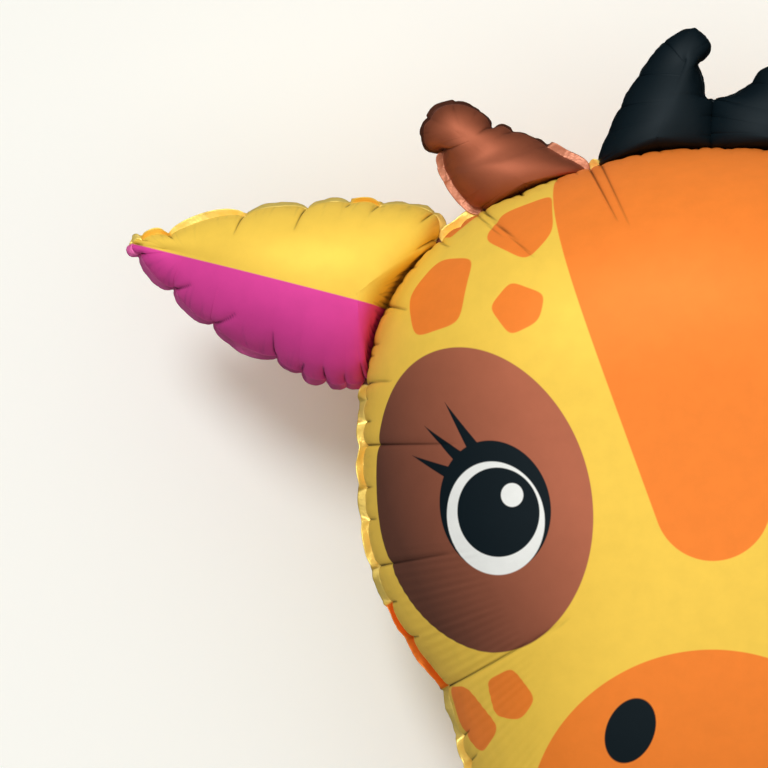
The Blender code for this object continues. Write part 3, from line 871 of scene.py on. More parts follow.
class NodeDesk:
    """Adds nodes to a geometry tree and links them."""

    def __init__(self, name, sockets):
        self.tree = bpy.data.node_groups.new(name, "GeometryNodeTree")
        self.tree.interface.new_socket(name="Geometry", in_out="OUTPUT",
                                       socket_type="NodeSocketGeometry")
        self.names = {}
        for socket, kind in {"Geometry": "NodeSocketGeometry", **sockets}.items():
            made = self.tree.interface.new_socket(name=socket, in_out="INPUT", socket_type=kind)
            self.names[socket] = made.identifier
        self.inputs = self.tree.nodes.new("NodeGroupInput").outputs
        self.result = self.tree.nodes.new("NodeGroupOutput").inputs

    def add(self, kind, settings=None, **inputs):
        """A node with these settings and inputs."""
        return new_node(self.tree, kind, settings, inputs)

    def maths(self, operation, first, second=0.0):
        """The result of one operation on two numbers."""
        return self.add("ShaderNodeMath", {"operation": operation},
                        in_0=first, in_1=second).outputs[0]

    def times(self, value, *others):
        """The product of all these."""
        for other in others:
            value = self.maths("MULTIPLY", value, other)
        return value

    def attribute(self, word, kind="FLOAT"):
        """A named attribute of the mesh."""
        return self.add("GeometryNodeInputNamedAttribute", {"data_type": kind},
                        Name=word).outputs[0]

    def noise(self, vector, gap, seed):
        """Smooth noise from about -1 to 1 that turns about every gap."""
        scale = self.maths("DIVIDE", 1.0, gap)
        noise = self.add("ShaderNodeTexNoise", {"noise_dimensions": "4D", "normalize": True},
                         Vector=vector, W=seed, Scale=scale, Detail=2.0, Roughness=0.5)
        return self.times(self.maths("SUBTRACT", noise.outputs[0], 0.5), NOISE_GAIN)

    def moved(self, geometry, height):
        """The geometry pushed out along its normals by this height."""
        normal = self.add("GeometryNodeInputNormal").outputs[0]
        offset = self.add("ShaderNodeVectorMath", {"operation": "SCALE"}, in_0=normal,
                          in_3=height).outputs[0]
        return self.add("GeometryNodeSetPosition", Geometry=geometry, Offset=offset).outputs[0]

    def end(self, geometry):
        """Makes this geometry the tree's result."""
        self.tree.links.new(geometry, self.result[0])
        return self


def film_tree():
    """Closes a skin's poles, crinkles it beside the seam and dents it softly further in."""
    desk = NodeDesk("crinkled_film", {
        "Crinkle Height": "NodeSocketFloat", "Crinkle Size": "NodeSocketFloat",
        "Dent Height": "NodeSocketFloat", "Dent Size": "NodeSocketFloat",
        "Seed": "NodeSocketFloat", "Front Film": "NodeSocketMaterial",
        "Back Film": "NodeSocketMaterial"})
    given = desk.inputs
    closed = desk.add("GeometryNodeMergeByDistance", Geometry=given["Geometry"],
                      Distance=SAME_PLACE)
    around_film = desk.attribute("film", "FLOAT_VECTOR")
    crinkle = desk.times(desk.noise(around_film, given["Crinkle Size"], given["Seed"]),
                         given["Crinkle Height"], desk.attribute("crinkle"))
    place = desk.add("GeometryNodeInputPosition").outputs[0]
    dent = desk.times(desk.noise(place, given["Dent Size"], given["Seed"]),
                      given["Dent Height"], desk.attribute("dent"))
    moved = desk.moved(closed.outputs[0], desk.maths("ADD", crinkle, dent))
    real = desk.add("GeometryNodeRealizeInstances", Geometry=moved)
    back = desk.add("GeometryNodeSetMaterial", Geometry=real.outputs[0],
                    Material=given["Back Film"])
    front = desk.add("GeometryNodeSetMaterial", Geometry=back.outputs[0],
                     Selection=desk.attribute("front", "BOOLEAN"), Material=given["Front Film"])
    return desk.end(front.outputs[0])


def rim_tree():
    """Crinkles a flat ribbon and gives it the thickness of two welded sheets."""
    desk = NodeDesk("crinkled_rim", {
        "Thickness": "NodeSocketFloat", "Crinkle Height": "NodeSocketFloat",
        "Crinkle Size": "NodeSocketFloat", "Seed": "NodeSocketFloat",
        "Foil": "NodeSocketMaterial"})
    given = desk.inputs
    place = desk.add("GeometryNodeInputPosition").outputs[0]
    crinkle = desk.times(desk.noise(place, given["Crinkle Size"], given["Seed"]),
                         given["Crinkle Height"], desk.attribute("free"))
    moved = desk.moved(given["Geometry"], crinkle)
    raised = desk.add("GeometryNodeExtrudeMesh", {"mode": "FACES"}, Mesh=moved,
                      OffsetScale=given["Thickness"], Individual=False)
    under = desk.add("GeometryNodeFlipFaces", Mesh=moved)
    joined = desk.add("GeometryNodeJoinGeometry")
    for sheet in (raised, under):
        desk.tree.links.new(sheet.outputs[0], joined.inputs[0])
    closed = desk.add("GeometryNodeMergeByDistance", Geometry=joined.outputs[0],
                      Distance=SAME_PLACE)
    real = desk.add("GeometryNodeRealizeInstances", Geometry=closed.outputs[0])
    made = desk.add("GeometryNodeSetMaterial", Geometry=real.outputs[0], Material=given["Foil"])
    return desk.end(made.outputs[0])


def finished(mesh, desk, values):
    """Runs a tree over a mesh and returns the plain object that it makes."""
    rough = bpy.data.objects.new(mesh.name + "_rough", mesh)
    bpy.context.scene.collection.objects.link(rough)
    modifier = rough.modifiers.new(desk.tree.name, "NODES")
    modifier.node_group = desk.tree
    for word, value in values.items():
        modifier[desk.names[word]] = value
    bpy.context.view_layer.update()
    view = bpy.context.evaluated_depsgraph_get()
    plain = bpy.data.meshes.new_from_object(rough.evaluated_get(view), depsgraph=view)
    name = mesh.name
    bpy.data.objects.remove(rough)
    bpy.data.meshes.remove(mesh)
    plain.name = name
    plain.shade_smooth()
    piece = bpy.data.objects.new(name, plain)
    bpy.context.scene.collection.objects.link(piece)
    return piece


def mounted(piece):
    """Hangs a piece on the balloon's only body and hides the part that it stands for."""
    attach(piece, "root")
    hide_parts("balloon_envelope")
    return piece


class Ink:
    """A number in a shader tree, worked with as arithmetic."""

    def __init__(self, tree, socket):
        self.tree, self.socket = tree, socket

    def maths(self, operation, *others, clamp=False):
        """The result of one operation on this number and the others."""
        node = self.tree.nodes.new("ShaderNodeMath")
        node.operation, node.use_clamp = operation, clamp
        for slot, value in zip(node.inputs, (self, *others)):
            if isinstance(value, Ink):
                self.tree.links.new(value.socket, slot)
            else:
                slot.default_value = value
        return Ink(self.tree, node.outputs[0])

    def __add__(self, other):
        return self.maths("ADD", other)

    def __sub__(self, other):
        return self.maths("SUBTRACT", other)

    def __mul__(self, other):
        return self.maths("MULTIPLY", other)

    def __truediv__(self, other):
        return self.maths("DIVIDE", other)

    def lower(self, other):
        """The lesser of the two."""
        return self.maths("MINIMUM", other)

    def upper(self, other):
        """The greater of the two."""
        return self.maths("MAXIMUM", other)

    def size(self):
        """This number without its sign."""
        return self.maths("ABSOLUTE")


def distance(x, y):
    """How far a place is from nought."""
    return (x * x + y * y).maths("SQRT")


def turned(x, y, cx, cy, tilt):
    """A place seen from a centre, with the axes tilted anticlockwise."""
    x, y = x - cx, y - cy
    return x * math.cos(tilt) + y * math.sin(tilt), y * math.cos(tilt) - x * math.sin(tilt)


def disc(x, y, cx, cy, radius):
    """How far outside a disc a place is."""
    return distance(x - cx, y - cy) - radius


def oval(x, y, cx, cy, rx, ry, tilt=0.0):
    """How far outside an oval a place is, or nearly."""
    x, y = turned(x, y, cx, cy, tilt)
    return (distance(x / rx, y / ry) - 1) * min(rx, ry)


def cone(x, y, low, low_radius, high, high_radius):
    """A round ended wedge that stands on the middle line and widens upwards."""
    lean = math.asin((high_radius - low_radius) / (high - low))
    flank = x.size() * math.cos(lean) - (y - low) * math.sin(lean) - low_radius
    start = low - low_radius * math.sin(lean)
    return flank.upper(y * -1 + start).lower(disc(x, y, 0, low, low_radius))


def lash(x, y, start, end, width):
    """A hair that tapers to a point."""
    length = math.dist(start, end)
    tilt = math.atan2(end[1] - start[1], end[0] - start[0])
    u, v = turned(x, y, *start, tilt)
    taper = (u / -length + 1).upper(0.0).lower(1.0)
    return (v.size() - taper * width).upper(u * -1).upper(u - length)


def coat_spot(x, y, cx, cy, radius, tilt, chance):
    """An uneven spot with a few sides and rounded corners."""
    spot = None
    for side in range(SPOT_SIDES):
        turn = (side + chance.uniform(-SPOT_TURN, SPOT_TURN)) / SPOT_SIDES
        bearing = tilt + 2 * math.pi * turn
        across, up = math.cos(bearing), math.sin(bearing)
        reach = radius * chance.uniform(*SPOT_REACH) + cx * across + cy * up
        flank = x * across + (y * up - reach)
        spot = flank if spot is None else spot.maths("SMOOTH_MAX", flank, SPOT_ROUNDING * radius)
    return spot


class Foil:
    """A foil material whose colour is built up ink by ink."""

    def __init__(self, name, ground, metal, roughness, sheen=0.5):
        self.material = bpy.data.materials.new(name)
        self.material.use_nodes = True
        self.tree = self.material.node_tree
        self.shader = self.tree.nodes["Principled BSDF"]
        self.shader.inputs["Metallic"].default_value = metal
        self.shader.inputs["Roughness"].default_value = roughness
        self.shader.inputs["Specular IOR Level"].default_value = sheen
        self.ink = (*ground, 1.0)

    def node(self, kind, settings=None, **inputs):
        """A node with these settings and inputs."""
        return new_node(self.tree, kind, settings, inputs)

    def flat_place(self):
        """Where a point is on the flat sheet that was printed."""
        flat = self.node("ShaderNodeUVMap", {"uv_map": FILM_MAP})
        parts = self.node("ShaderNodeSeparateXYZ", Vector=flat.outputs[0])
        return Ink(self.tree, parts.outputs[0]), Ink(self.tree, parts.outputs[1])

    def mixed(self, part, first, second):
        """A colour that goes from the first to the second as the part goes from 0 to 1."""
        mix = self.node("ShaderNodeMix", {"data_type": "RGBA"}, Factor=part.socket,
                        A=first, B=second)
        return next(slot for slot in mix.outputs if slot.enabled)

    def lay(self, colour, shape, blur=0.0005, fade=None):
        """Prints a colour where the shape is below nought, faded to another if one is given."""
        mask = (shape * (-0.5 / blur)).maths("ADD", 0.5, clamp=True)
        ink = (*colour, 1.0)
        if fade:
            part, other = fade
            ink = self.mixed(part.maths("ADD", 0.0, clamp=True), ink, (*other, 1.0))
        self.ink = self.mixed(mask, self.ink, ink)

    def done(self, grain=0.00005, grain_gap=0.0035):
        """Adds the faint mottle of the ink, painted shade along the creases' bottoms, and the film's
        fine unevenness.
        """
        place = self.node("ShaderNodeTexCoord").outputs["Object"]
        mottle = self.node("ShaderNodeTexNoise", Vector=place, Scale=MOTTLE_SCALE, Detail=4.0,
                           Roughness=0.6)
        tone = self.node("ShaderNodeMapRange", Value=mottle.outputs[0], FromMin=0.3, FromMax=0.7,
                         ToMin=MOTTLE_TONE[0], ToMax=MOTTLE_TONE[1])
        # Painted shade: the ink is darkened along the bottoms of the creases
        fold = self.node("ShaderNodeAttribute", {"attribute_name": "painted_fold_shade"}).outputs["Fac"]
        value = Ink(self.tree, tone.outputs[0]) - Ink(self.tree, fold) * PAINTED_FOLD_SHADE
        shade = self.node("ShaderNodeHueSaturation", Color=self.ink, Value=value.socket)
        self.tree.links.new(shade.outputs[0], self.shader.inputs["Base Color"])
        fine = self.node("ShaderNodeTexNoise", Vector=place, Scale=1 / grain_gap, Detail=3.0,
                         Roughness=0.55)
        bump = self.node("ShaderNodeBump", Strength=1.0, Distance=grain, Height=fine.outputs[0])
        self.tree.links.new(bump.outputs[0], self.shader.inputs["Normal"])
        return self.material


def printed_face(inks):
    """The face: eye patches, eyes, forehead, muzzle, nostrils, mouth and coat spots."""
    foil = Foil("printed_face", inks.yellow, inks.metal, inks.roughness, inks.sheen)
    x, y = foil.flat_place()
    side = x.size()
    chance = np.random.default_rng(PRINT_SEED)
    for cx, cy, radius in COAT_SPOTS:
        tilt = chance.uniform(0, SPOT_TILT)
        foil.lay(inks.orange, coat_spot(side, y, cx, cy, radius, tilt, chance))
    foil.lay(inks.orange, cone(x, y, *FOREHEAD))
    foil.lay(inks.orange, oval(x, y, *MUZZLE))
    # Painted shade: each eye patch darkens towards its outer, lower side, where the flank turns from
    # the light
    across, up = PAINTED_PATCH_SHADE
    outward = (side * across + y * up - PAINTED_PATCH_SHADE_START) / PAINTED_PATCH_SHADE_WIDTH
    foil.lay(inks.brown, oval(side, y, *EYE_PATCH), fade=(outward, inks.painted_shade_brown))
    foil.lay(inks.navy, oval(side, y, *EYE_EDGE))
    foil.lay(inks.white, oval(side, y, *EYE_WHITE))
    foil.lay(inks.navy, disc(side, y, *PUPIL))
    foil.lay(inks.white, disc(side, y, *GLINT))
    for start, end in LASHES:
        foil.lay(inks.navy, lash(side, y, start, end, LASH_WIDTH))
    foil.lay(inks.navy, oval(side, y, *NOSTRIL))
    smile = disc(x, y, *SMILE).size() - SMILE_WIDTH
    foil.lay(inks.navy, smile.upper(y - SMILE_TOP))
    return foil.done()


def printed_back(inks):
    """The back: a plain coat of orange patches on yellow."""
    foil = Foil("printed_back", inks.yellow, inks.metal, inks.roughness, inks.sheen)
    flat = foil.node("ShaderNodeUVMap", {"uv_map": FILM_MAP})
    edges = foil.node("ShaderNodeTexVoronoi", {"feature": "DISTANCE_TO_EDGE"},
                      Vector=flat.outputs[0], Scale=BACK_PATCHES, Randomness=BACK_UNEVENNESS)
    gap = Ink(foil.tree, edges.outputs[0])
    foil.lay(inks.orange, (gap * -1 + BACK_GAP) / BACK_PATCHES)
    return foil.done()


def plain_foil(name, ground, metal, inks):
    """Film in one ink."""
    return Foil(name, ground, metal, inks.roughness, inks.sheen).done()


def printed_ear(inks):
    """Yellow above a line from the weld to the tip, and magenta below it."""
    foil = Foil("printed_ear", inks.yellow, inks.metal, inks.roughness, inks.sheen)
    place = foil.node("ShaderNodeTexCoord").outputs["Object"]
    parts = foil.node("ShaderNodeSeparateXYZ", Vector=place)
    x, y = (Ink(foil.tree, socket) for socket in parts.outputs[:2])
    foil.lay(inks.magenta, y - (x.size() * EAR_LINE[0] + EAR_LINE[1]))
    return foil.done()


def rim_foil(name, inks):
    """Glossy weld rim in the colours that its own attribute gives."""
    foil = Foil(name, inks.yellow, inks.rim_metal, inks.rim_roughness)
    foil.ink = foil.node("ShaderNodeAttribute", {"attribute_name": "ink"}).outputs["Color"]
    return foil.done(grain=RIM_GRAIN, grain_gap=RIM_GRAIN_GAP)


def head_outline(sizes):
    """The head's right side, from the crown round to the chin."""
    return curve_through([(x * sizes.head_width / 2, y * sizes.head_height) for x, y in HEAD_SIDE])


def seam_height(sizes):
    """The height of the seam that every lobe is blown up from."""
    return envelope_top - sizes.head_depth / 2


def base_share(edge, start):
    """The share of an edge that its first points, up to this many, take up."""
    runs = line_runs(curve_through(edge))
    return runs[CURVE_STEPS * (start - 1)] / runs[-1]


def with_weld_folds(folds, ends, count, seed):
    """Each edge's folds, with small ones along the weld that it starts with."""
    chance = np.random.default_rng(seed + WELD_SEED)
    return [weld_folds(0, end, count, chance) + side for end, side in zip(ends, folds)]


def head_lobe(sizes, form):
    """The head, with its flat spot, its long creases and its rippled cheeks."""
    chance = np.random.default_rng(form.seed + WELD_SEED)
    small = [fold for (start, end), count in zip(HEAD_WELDS, HEAD_WELD_FOLDS)
             for fold in weld_folds(start, end, count, chance)]
    small = [fold for fold in small
             if min(abs(fold[0] - main[0]) for main in HEAD_FOLDS) > FOLD_CLEARANCE]
    folds = sorted(HEAD_FOLDS + small)
    right, spine = ([(x * sizes.head_width / 2, y * sizes.head_height) for x, y in points]
                    for points in (HEAD_SIDE, HEAD_SPINE))
    left = [(-x, y) for x, y in right]
    return Lobe("head", (left, right), (folds, folds), (HEAD_WELDS, HEAD_WELDS), spine,
                [sizes.head_depth / 2], form, pinch=form.head_pinch, seed=form.seed,
                spacing=HEAD_SPACING, fullness=sizes.head_fullness,
                flat_share=sizes.flat_spot / sizes.head_width, thin_at=HEAD_THIN_AT,
                weld_strip=form.weld_strip, rim_width=form.rim_width, folding=1.0,
                tip_pull=SHARP_TIP_PULL, form_ease=HEAD_FORM_EASE, rim_ease=HEAD_RIM_EASE,
                rim_taper=HEAD_RIM_TAPER, ripples=CHEEKS)


def side_lobe(word, side, sizes, form, seed):
    """An ear or a horn on the left, -1, or on the right, 1."""
    kind, outline = SIDE_LOBES[word], head_outline(sizes)
    lift, lap, length, width, depth = (getattr(sizes, f"{word}_{part}") for part in
                                       ("lift", "lap", "length", "width", "depth"))
    along = np.array([math.cos(lift), math.sin(lift)])
    across = np.array([-math.sin(lift), math.cos(lift)])
    root = at_shares(outline, [kind["base"][0][0]])[0] - along * lap
    mirror = np.array([side, 1])

    def placed(shares):
        """Where points are that are given in the lobe's lengths and half widths."""
        return [(root + along * u * length + across * v * width / 2) * mirror for u, v in shares]

    starts = [[point * mirror for point in beside(outline, shares, form.weld_gap)]
              for shares in kind["base"]]
    edges = [start + placed(edge) for start, edge in zip(starts, kind["edges"])]
    ends = [base_share(edge, len(start)) for edge, start in zip(edges, starts)]
    folds = with_weld_folds(kind["folds"], ends, kind["weld_folds"], seed)
    return Lobe(f"{'left' if side < 0 else 'right'}_{word}", edges, folds,
                [[(0, end)] for end in ends], placed(kind["spine"]),
                [part * depth / 2 for part in kind["swell"]], form,
                pinch=getattr(form, f"{word}_pinch"), seed=seed, spacing=LOBE_SPACING,
                fullness=sizes.lobe_fullness, thin_at=LOBE_THIN_AT, weld_strip=LOBE_STRIP,
                rim_width=getattr(form, f"{word}_rim"), folding=kind["folding"],
                tip_pull=kind["tip_pull"])


def lock_lobe(name, edges, folds, weld_points, spine, sizes, form, seed):
    """A lock of the mane, standing on the head's crown line."""
    outline = head_outline(sizes)
    top = outline[: np.argmin(np.abs(outline[:, 1]))]

    def placed(shares):
        """Where points are that are given in half mane widths and in mane heights."""
        places = [u * sizes.mane_width / 2 for u, _ in shares]
        crown = np.interp(np.abs(places), top[:, 0], top[:, 1])
        return [np.array([x, line + v * sizes.mane_height])
                for x, line, (_, v) in zip(places, crown, shares)]

    edges = [placed(edge) for edge in edges]
    bases = [base_share(edge, BASE_POINTS) for edge in edges]
    ends = [base_share(edge, count) for edge, count in zip(edges, weld_points)]
    folds = with_weld_folds(folds, bases, LOCK_WELD_FOLDS, seed)
    return Lobe(name, edges, folds, [[(0, end)] for end in ends], placed(spine),
                [part * sizes.mane_depth / 2 for part in LOCK_SWELL], form, pinch=form.mane_pinch,
                seed=seed, spacing=LOBE_SPACING, fullness=sizes.lobe_fullness,
                thin_at=LOBE_THIN_AT, weld_strip=LOBE_STRIP, rim_width=form.mane_rim,
                folding=MANE_FOLDING)


def rim_mesh(lobe, ink_at, form):
    """A ribbon outside a lobe's seam that is bent its own way between each two folds."""
    free = softened(1.0 - lobe.welded, STRIP_EASE)
    width = lobe.rim_width * (1 - lobe.rim_taper * np.clip(lobe.pull, 0, 1))
    width = free * width + (1 - free) * lobe.weld_strip
    outer = softened(lobe.seam_line, lobe.rim_ease)
    flutter = closed_wave(lobe.runs, lobe.length, FLUTTER_GAP, lobe.chance)
    lean = softened(np.radians(lobe.lean.astype(float)), LEAN_EASE)
    lean = (lean + FLUTTER_LEAN * flutter) * free
    rows = []
    for step in RIM_STEPS:
        flat, rise = (step, 0.0) if step < 0 else (step * np.cos(lean), step * np.sin(lean))
        line = lobe.seam_line + max(step, 0) * (outer - lobe.seam_line)
        flat = line[:, :2] + lobe.outward * (flat * width)[:, None]
        rows.append(np.column_stack([flat, line[:, 2] + rise * width]))
    count = lobe.count
    lines = [range(row * count, (row + 1) * count) for row in range(len(rows))]
    faces = [face for inner, outer in zip(lines, lines[1:]) for face in between_rows(inner, outer)]
    mesh = bpy.data.meshes.new(f"{lobe.name}_rim")
    mesh.from_pydata(np.concatenate(rows).tolist(), [], faces)
    loose = np.concatenate([np.clip(step, 0, 1) * free for step in RIM_STEPS])
    mesh.attributes.new("free", "FLOAT", "POINT").data.foreach_set("value", loose)
    inks = np.tile(ink_at(lobe), (len(rows), 1)).astype(np.float32)
    mesh.attributes.new("ink", "FLOAT_COLOR", "POINT").data.foreach_set("color", inks.ravel())
    return mesh


def make_lobe(lobe, rings, film, back, foil, ink_at, balloon):
    """A lobe's finished skin, and the rim outside its seam."""
    form = balloon.form
    mesh = skin_mesh(lobe, seam_height(balloon.sizes), rings)
    mesh.name = f"{lobe.name}_film"
    mounted(finished(mesh, film_tree(), {
        "Crinkle Height": form.film_crinkle, "Crinkle Size": form.film_crinkle_size,
        "Dent Height": form.film_dent, "Dent Size": form.film_dent_size,
        "Seed": float(form.seed), "Front Film": film, "Back Film": back}))
    make_rim(rim_mesh(lobe, ink_at, form), foil, form)


def make_rim(mesh, foil, form):
    """A rim or neck, crinkled and given its thickness."""
    mounted(finished(mesh, rim_tree(), {
        "Thickness": form.rim_thickness, "Crinkle Height": form.rim_crinkle,
        "Crinkle Size": form.rim_crinkle_size, "Seed": float(form.seed), "Foil": foil}))


def chosen_ink(where, first, second):
    """One ink where this holds, and another elsewhere."""
    return np.where(where[:, None], (*first, 1.0), (*second, 1.0))


def filler_neck(sizes, form, foil, ink):
    """The flat tab below the chin that the balloon is filled through."""
    chin = HEAD_SIDE[-1][1] * sizes.head_height
    low = chin - form.rim_width - form.neck_length
    high = chin + form.rim_width / 2
    places = []
    for line in range(NECK_LINES):
        part = line / (NECK_LINES - 1)
        y = high + (low - high) * part
        rounding = max(0.0, (part - NECK_ROUND_FROM) / (1 - NECK_ROUND_FROM))
        half = form.neck_width / 2 * (1 - NECK_ROUNDING * rounding ** 2)
        for column in range(NECK_COLUMNS):
            across = 2 * column / (NECK_COLUMNS - 1) - 1
            wave = NECK_WAVE * math.sin(NECK_WAVE_DOWN * part) * part
            turns = NECK_RIPPLE_ACROSS * across + NECK_RIPPLE_DOWN * part
            wave += NECK_RIPPLE * math.cos(turns)
            places.append((across * half, y, seam_height(sizes) + wave * part))
    lines = [range(line * NECK_COLUMNS, (line + 1) * NECK_COLUMNS) for line in range(NECK_LINES)]
    faces = [(upper[k], lower[k], lower[k + 1], upper[k + 1])
             for upper, lower in zip(lines, lines[1:]) for k in range(NECK_COLUMNS - 1)]
    mesh = bpy.data.meshes.new("filler_neck")
    mesh.from_pydata(places, [], faces)
    mesh.attributes.new("free", "FLOAT", "POINT").data.foreach_set(
        "value", [NECK_FREEDOM] * len(places))
    inks = [*ink, 1.0] * len(places)
    mesh.attributes.new("ink", "FLOAT_COLOR", "POINT").data.foreach_set("color", inks)
    make_rim(mesh, foil, form)


class FOIL_OT_head(Operator):
    """Make the head's film with its printed face, and its weld rim"""
    bl_idname = "foil_balloon.head"
    bl_label = "Head"

    def execute(self, context):
        balloon = context.scene.foil_balloon
        inks = balloon.inks

        def rim_ink(lobe):
            start, end = TURNED_RIM
            turned_over = (lobe.share > start) & (lobe.share < end)
            ink = chosen_ink(turned_over, inks.orange, inks.gold)
            # Painted shade: the weld strips deep in the grooves between the head and its lobes are
            # umber
            return np.where(lobe.welded[:, None] > 0, (*inks.umber_and_painted_shade, 1.0), ink)

        make_lobe(head_lobe(balloon.sizes, balloon.form), HEAD_RINGS, printed_face(inks),
                  printed_back(inks), rim_foil("head_rim_foil", inks), rim_ink, balloon)
        return {"FINISHED"}


class FOIL_OT_ears(Operator):
    """Make both ears' films and weld rims"""
    bl_idname = "foil_balloon.ears"
    bl_label = "Ears"

    def execute(self, context):
        balloon = context.scene.foil_balloon
        sizes, form, inks = balloon.sizes, balloon.form, balloon.inks
        film, foil = printed_ear(inks), rim_foil("ear_rim_foil", inks)

        def rim_ink(lobe):
            line = np.abs(lobe.points[:, 0]) * EAR_LINE[0] + EAR_LINE[1]
            return chosen_ink(lobe.points[:, 1] > line, inks.gold, inks.pink)

        for side in (-1, 1):
            lobe = side_lobe("ear", side, sizes, form, form.seed + EAR_SEED + side)
            make_lobe(lobe, EAR_RINGS, film, film, foil, rim_ink, balloon)
        return {"FINISHED"}


class FOIL_OT_horns(Operator):
    """Make both horns' films and weld rims"""
    bl_idname = "foil_balloon.horns"
    bl_label = "Horns"

    def execute(self, context):
        balloon = context.scene.foil_balloon
        sizes, form, inks = balloon.sizes, balloon.form, balloon.inks
        film = plain_foil("horn_film", inks.horn, inks.horn_metal, inks)
        foil = rim_foil("horn_rim_foil", inks)

        def rim_ink(lobe):
            return chosen_ink(lobe.lean > 0, inks.copper, inks.umber_and_painted_shade)

        for side in (-1, 1):
            lobe = side_lobe("horn", side, sizes, form, form.seed + HORN_SEED + side)
            make_lobe(lobe, SMALL_RINGS, film, film, foil, rim_ink, balloon)
        return {"FINISHED"}


class FOIL_OT_mane(Operator):
    """Make the films and weld rims of the mane's two locks"""
    bl_idname = "foil_balloon.mane"
    bl_label = "Mane"

    def execute(self, context):
        balloon = context.scene.foil_balloon
        inks = balloon.inks
        sizes, form = balloon.sizes, balloon.form
        film = plain_foil("mane_film", inks.navy, inks.metal, inks)
        foil = rim_foil("mane_rim_foil", inks)

        def rim_ink(lobe):
            return np.tile((*inks.navy, 1.0), (lobe.count, 1))

        for lock in (
                lock_lobe("left_lock", LEFT_LOCK_EDGES, LEFT_LOCK_FOLDS, LEFT_LOCK_WELDS,
                          LEFT_LOCK_SPINE, sizes, form, form.seed + LEFT_LOCK_SEED),
                lock_lobe("right_lock", RIGHT_LOCK_EDGES, RIGHT_LOCK_FOLDS, RIGHT_LOCK_WELDS,
                          RIGHT_LOCK_SPINE, sizes, form, form.seed + RIGHT_LOCK_SEED)):
            make_lobe(lock, SMALL_RINGS, film, film, foil, rim_ink, balloon)
        return {"FINISHED"}


class FOIL_OT_neck(Operator):
    """Make the flat filler neck below the chin"""
    bl_idname = "foil_balloon.neck"
    bl_label = "Filler neck"

    def execute(self, context):
        balloon = context.scene.foil_balloon
        inks = balloon.inks
        filler_neck(balloon.sizes, balloon.form, rim_foil("neck_foil", inks), inks.gold)
        return {"FINISHED"}


def soft_sun(name, tilt, turn, spread, strength, tint):
    """Even light from one part of the sky: away from straight above, bearing, and how wide."""
    light = bpy.data.lights.new(name, "SUN")
    light.angle, light.energy, light.color = spread, strength, tint
    lamp = bpy.data.objects.new(name, light)
    lamp.location = (math.sin(tilt) * math.cos(turn), math.sin(tilt) * math.sin(turn), math.cos(tilt))
    lamp.rotation_euler = (-lamp.location).to_track_quat("-Z", "Y").to_euler()
    bpy.context.scene.collection.objects.link(lamp)


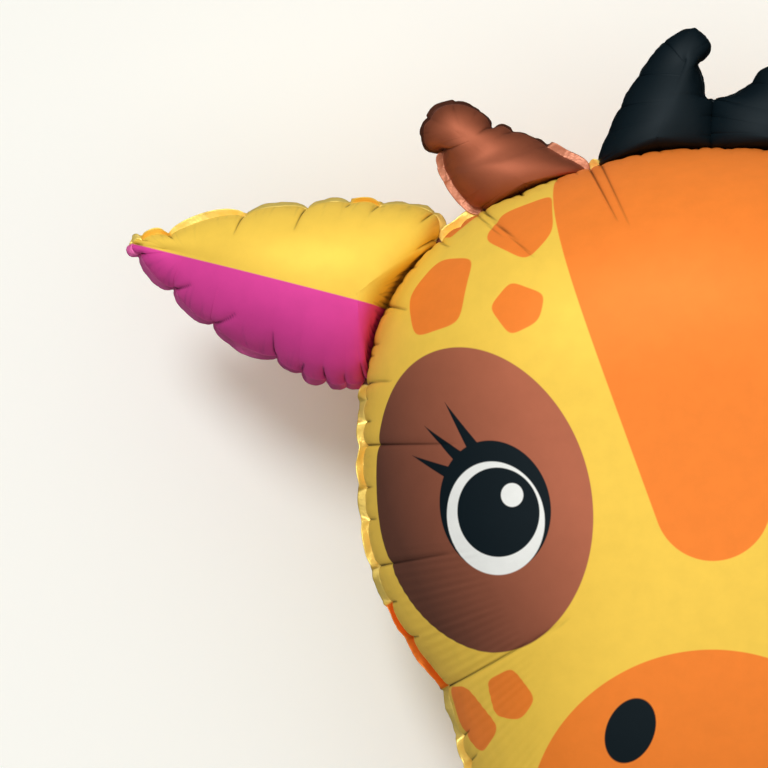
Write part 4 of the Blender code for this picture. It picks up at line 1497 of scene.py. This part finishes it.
class FOIL_OT_stage(Operator):
    """Make the floor, the lights and the camera"""
    bl_idname = "foil_balloon.stage"
    bl_label = "Stage"

    def execute(self, context):
        studio = context.scene.foil_balloon.studio
        seam = seam_height(context.scene.foil_balloon.sizes)
        mesh = bpy.data.meshes.new("floor")
        corners = [(x * FLOOR_HALF, y * FLOOR_HALF, 0) for x, y in ((-1, -1), (1, -1), (1, 1), (-1, 1))]
        mesh.from_pydata(corners, [], [(0, 1, 2, 3)])
        floor = bpy.data.objects.new("floor", mesh)
        floor.visible_glossy = False
        context.scene.collection.objects.link(floor)
        paper = bpy.data.materials.new("floor_paper")
        paper.use_nodes = True
        shader = paper.node_tree.nodes["Principled BSDF"]
        shader.inputs["Base Color"].default_value = (*studio.floor_colour, 1.0)
        shader.inputs["Roughness"].default_value = PAPER_ROUGHNESS
        shader.inputs["Specular IOR Level"].default_value = PAPER_SHEEN
        mesh.materials.append(paper)
        soft_sun("key_light", studio.key_tilt, studio.key_turn, studio.key_spread,
                 studio.key_strength, studio.key_tint)
        soft_sun("fill_light", studio.fill_tilt, studio.fill_turn, studio.fill_spread,
                 studio.fill_strength, studio.fill_tint)
        world = bpy.data.worlds.new("room")
        context.scene.world = world
        world.use_nodes = True
        background = world.node_tree.nodes["Background"].inputs
        background["Color"].default_value = (*studio.room_tint, 1.0)
        background["Strength"].default_value = studio.room
        world.cycles_visibility.diffuse = False
        world.cycles_visibility.glossy = False
        camera = bpy.data.objects.new("camera", bpy.data.cameras.new("camera"))
        place = Vector((0, 0, seam + studio.camera_height))
        aim = Vector((studio.aim_x, studio.aim_y, seam))
        way = aim - place
        camera.location = place
        backward = -way.normalized()
        right = Vector((0, 1, 0)).cross(backward).normalized()
        camera.rotation_euler = Matrix((right, backward.cross(right), backward)).transposed().to_euler()
        camera.data.sensor_width = SENSOR_WIDTH
        camera.data.lens = SENSOR_WIDTH * way.length / studio.view_width
        camera.data.clip_end = FAR_LIMIT
        context.scene.collection.objects.link(camera)
        context.scene.camera = camera
        context.scene.view_settings.view_transform = "Standard"
        return {"FINISHED"}


class FoilBalloon(PropertyGroup):
    """All settings of the balloon."""
    sizes: PointerProperty(type=LobeSizes)
    form: PointerProperty(type=FilmShape)
    inks: PointerProperty(type=PrintColours)
    studio: PointerProperty(type=Studio)


OPERATORS = (FOIL_OT_stage, FOIL_OT_head, FOIL_OT_ears, FOIL_OT_horns, FOIL_OT_mane, FOIL_OT_neck)


class FOIL_PT_balloon(Panel):
    """The balloon's pieces, and the sizes and colours that they are made with"""
    bl_idname = "FOIL_PT_balloon"
    bl_label = "Foil Balloon"
    bl_space_type = "VIEW_3D"
    bl_region_type = "UI"
    bl_category = "Foil Balloon"

    def draw(self, context):
        balloon = context.scene.foil_balloon
        for group in (balloon.sizes, balloon.form, balloon.inks, balloon.studio):
            box = self.layout.box()
            for word in group.__annotations__:
                box.prop(group, word)
        for operator in OPERATORS:
            self.layout.operator(operator.bl_idname)


CLASSES = (LobeSizes, FilmShape, PrintColours, Studio, FoilBalloon, *OPERATORS, FOIL_PT_balloon)


def register():
    """Adds the classes and the scene's settings."""
    for made in CLASSES:
        bpy.utils.register_class(made)
    bpy.types.Scene.foil_balloon = PointerProperty(type=FoilBalloon)


def unregister():
    """Takes them away again."""
    del bpy.types.Scene.foil_balloon
    for made in reversed(CLASSES):
        bpy.utils.unregister_class(made)


def main():
    """Makes the stage and every piece."""
    register()
    bpy.ops.foil_balloon.stage()
    bpy.ops.foil_balloon.head()
    bpy.ops.foil_balloon.ears()
    bpy.ops.foil_balloon.horns()
    bpy.ops.foil_balloon.mane()
    bpy.ops.foil_balloon.neck()
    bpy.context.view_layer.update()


if __name__ == "__main__":
    main()
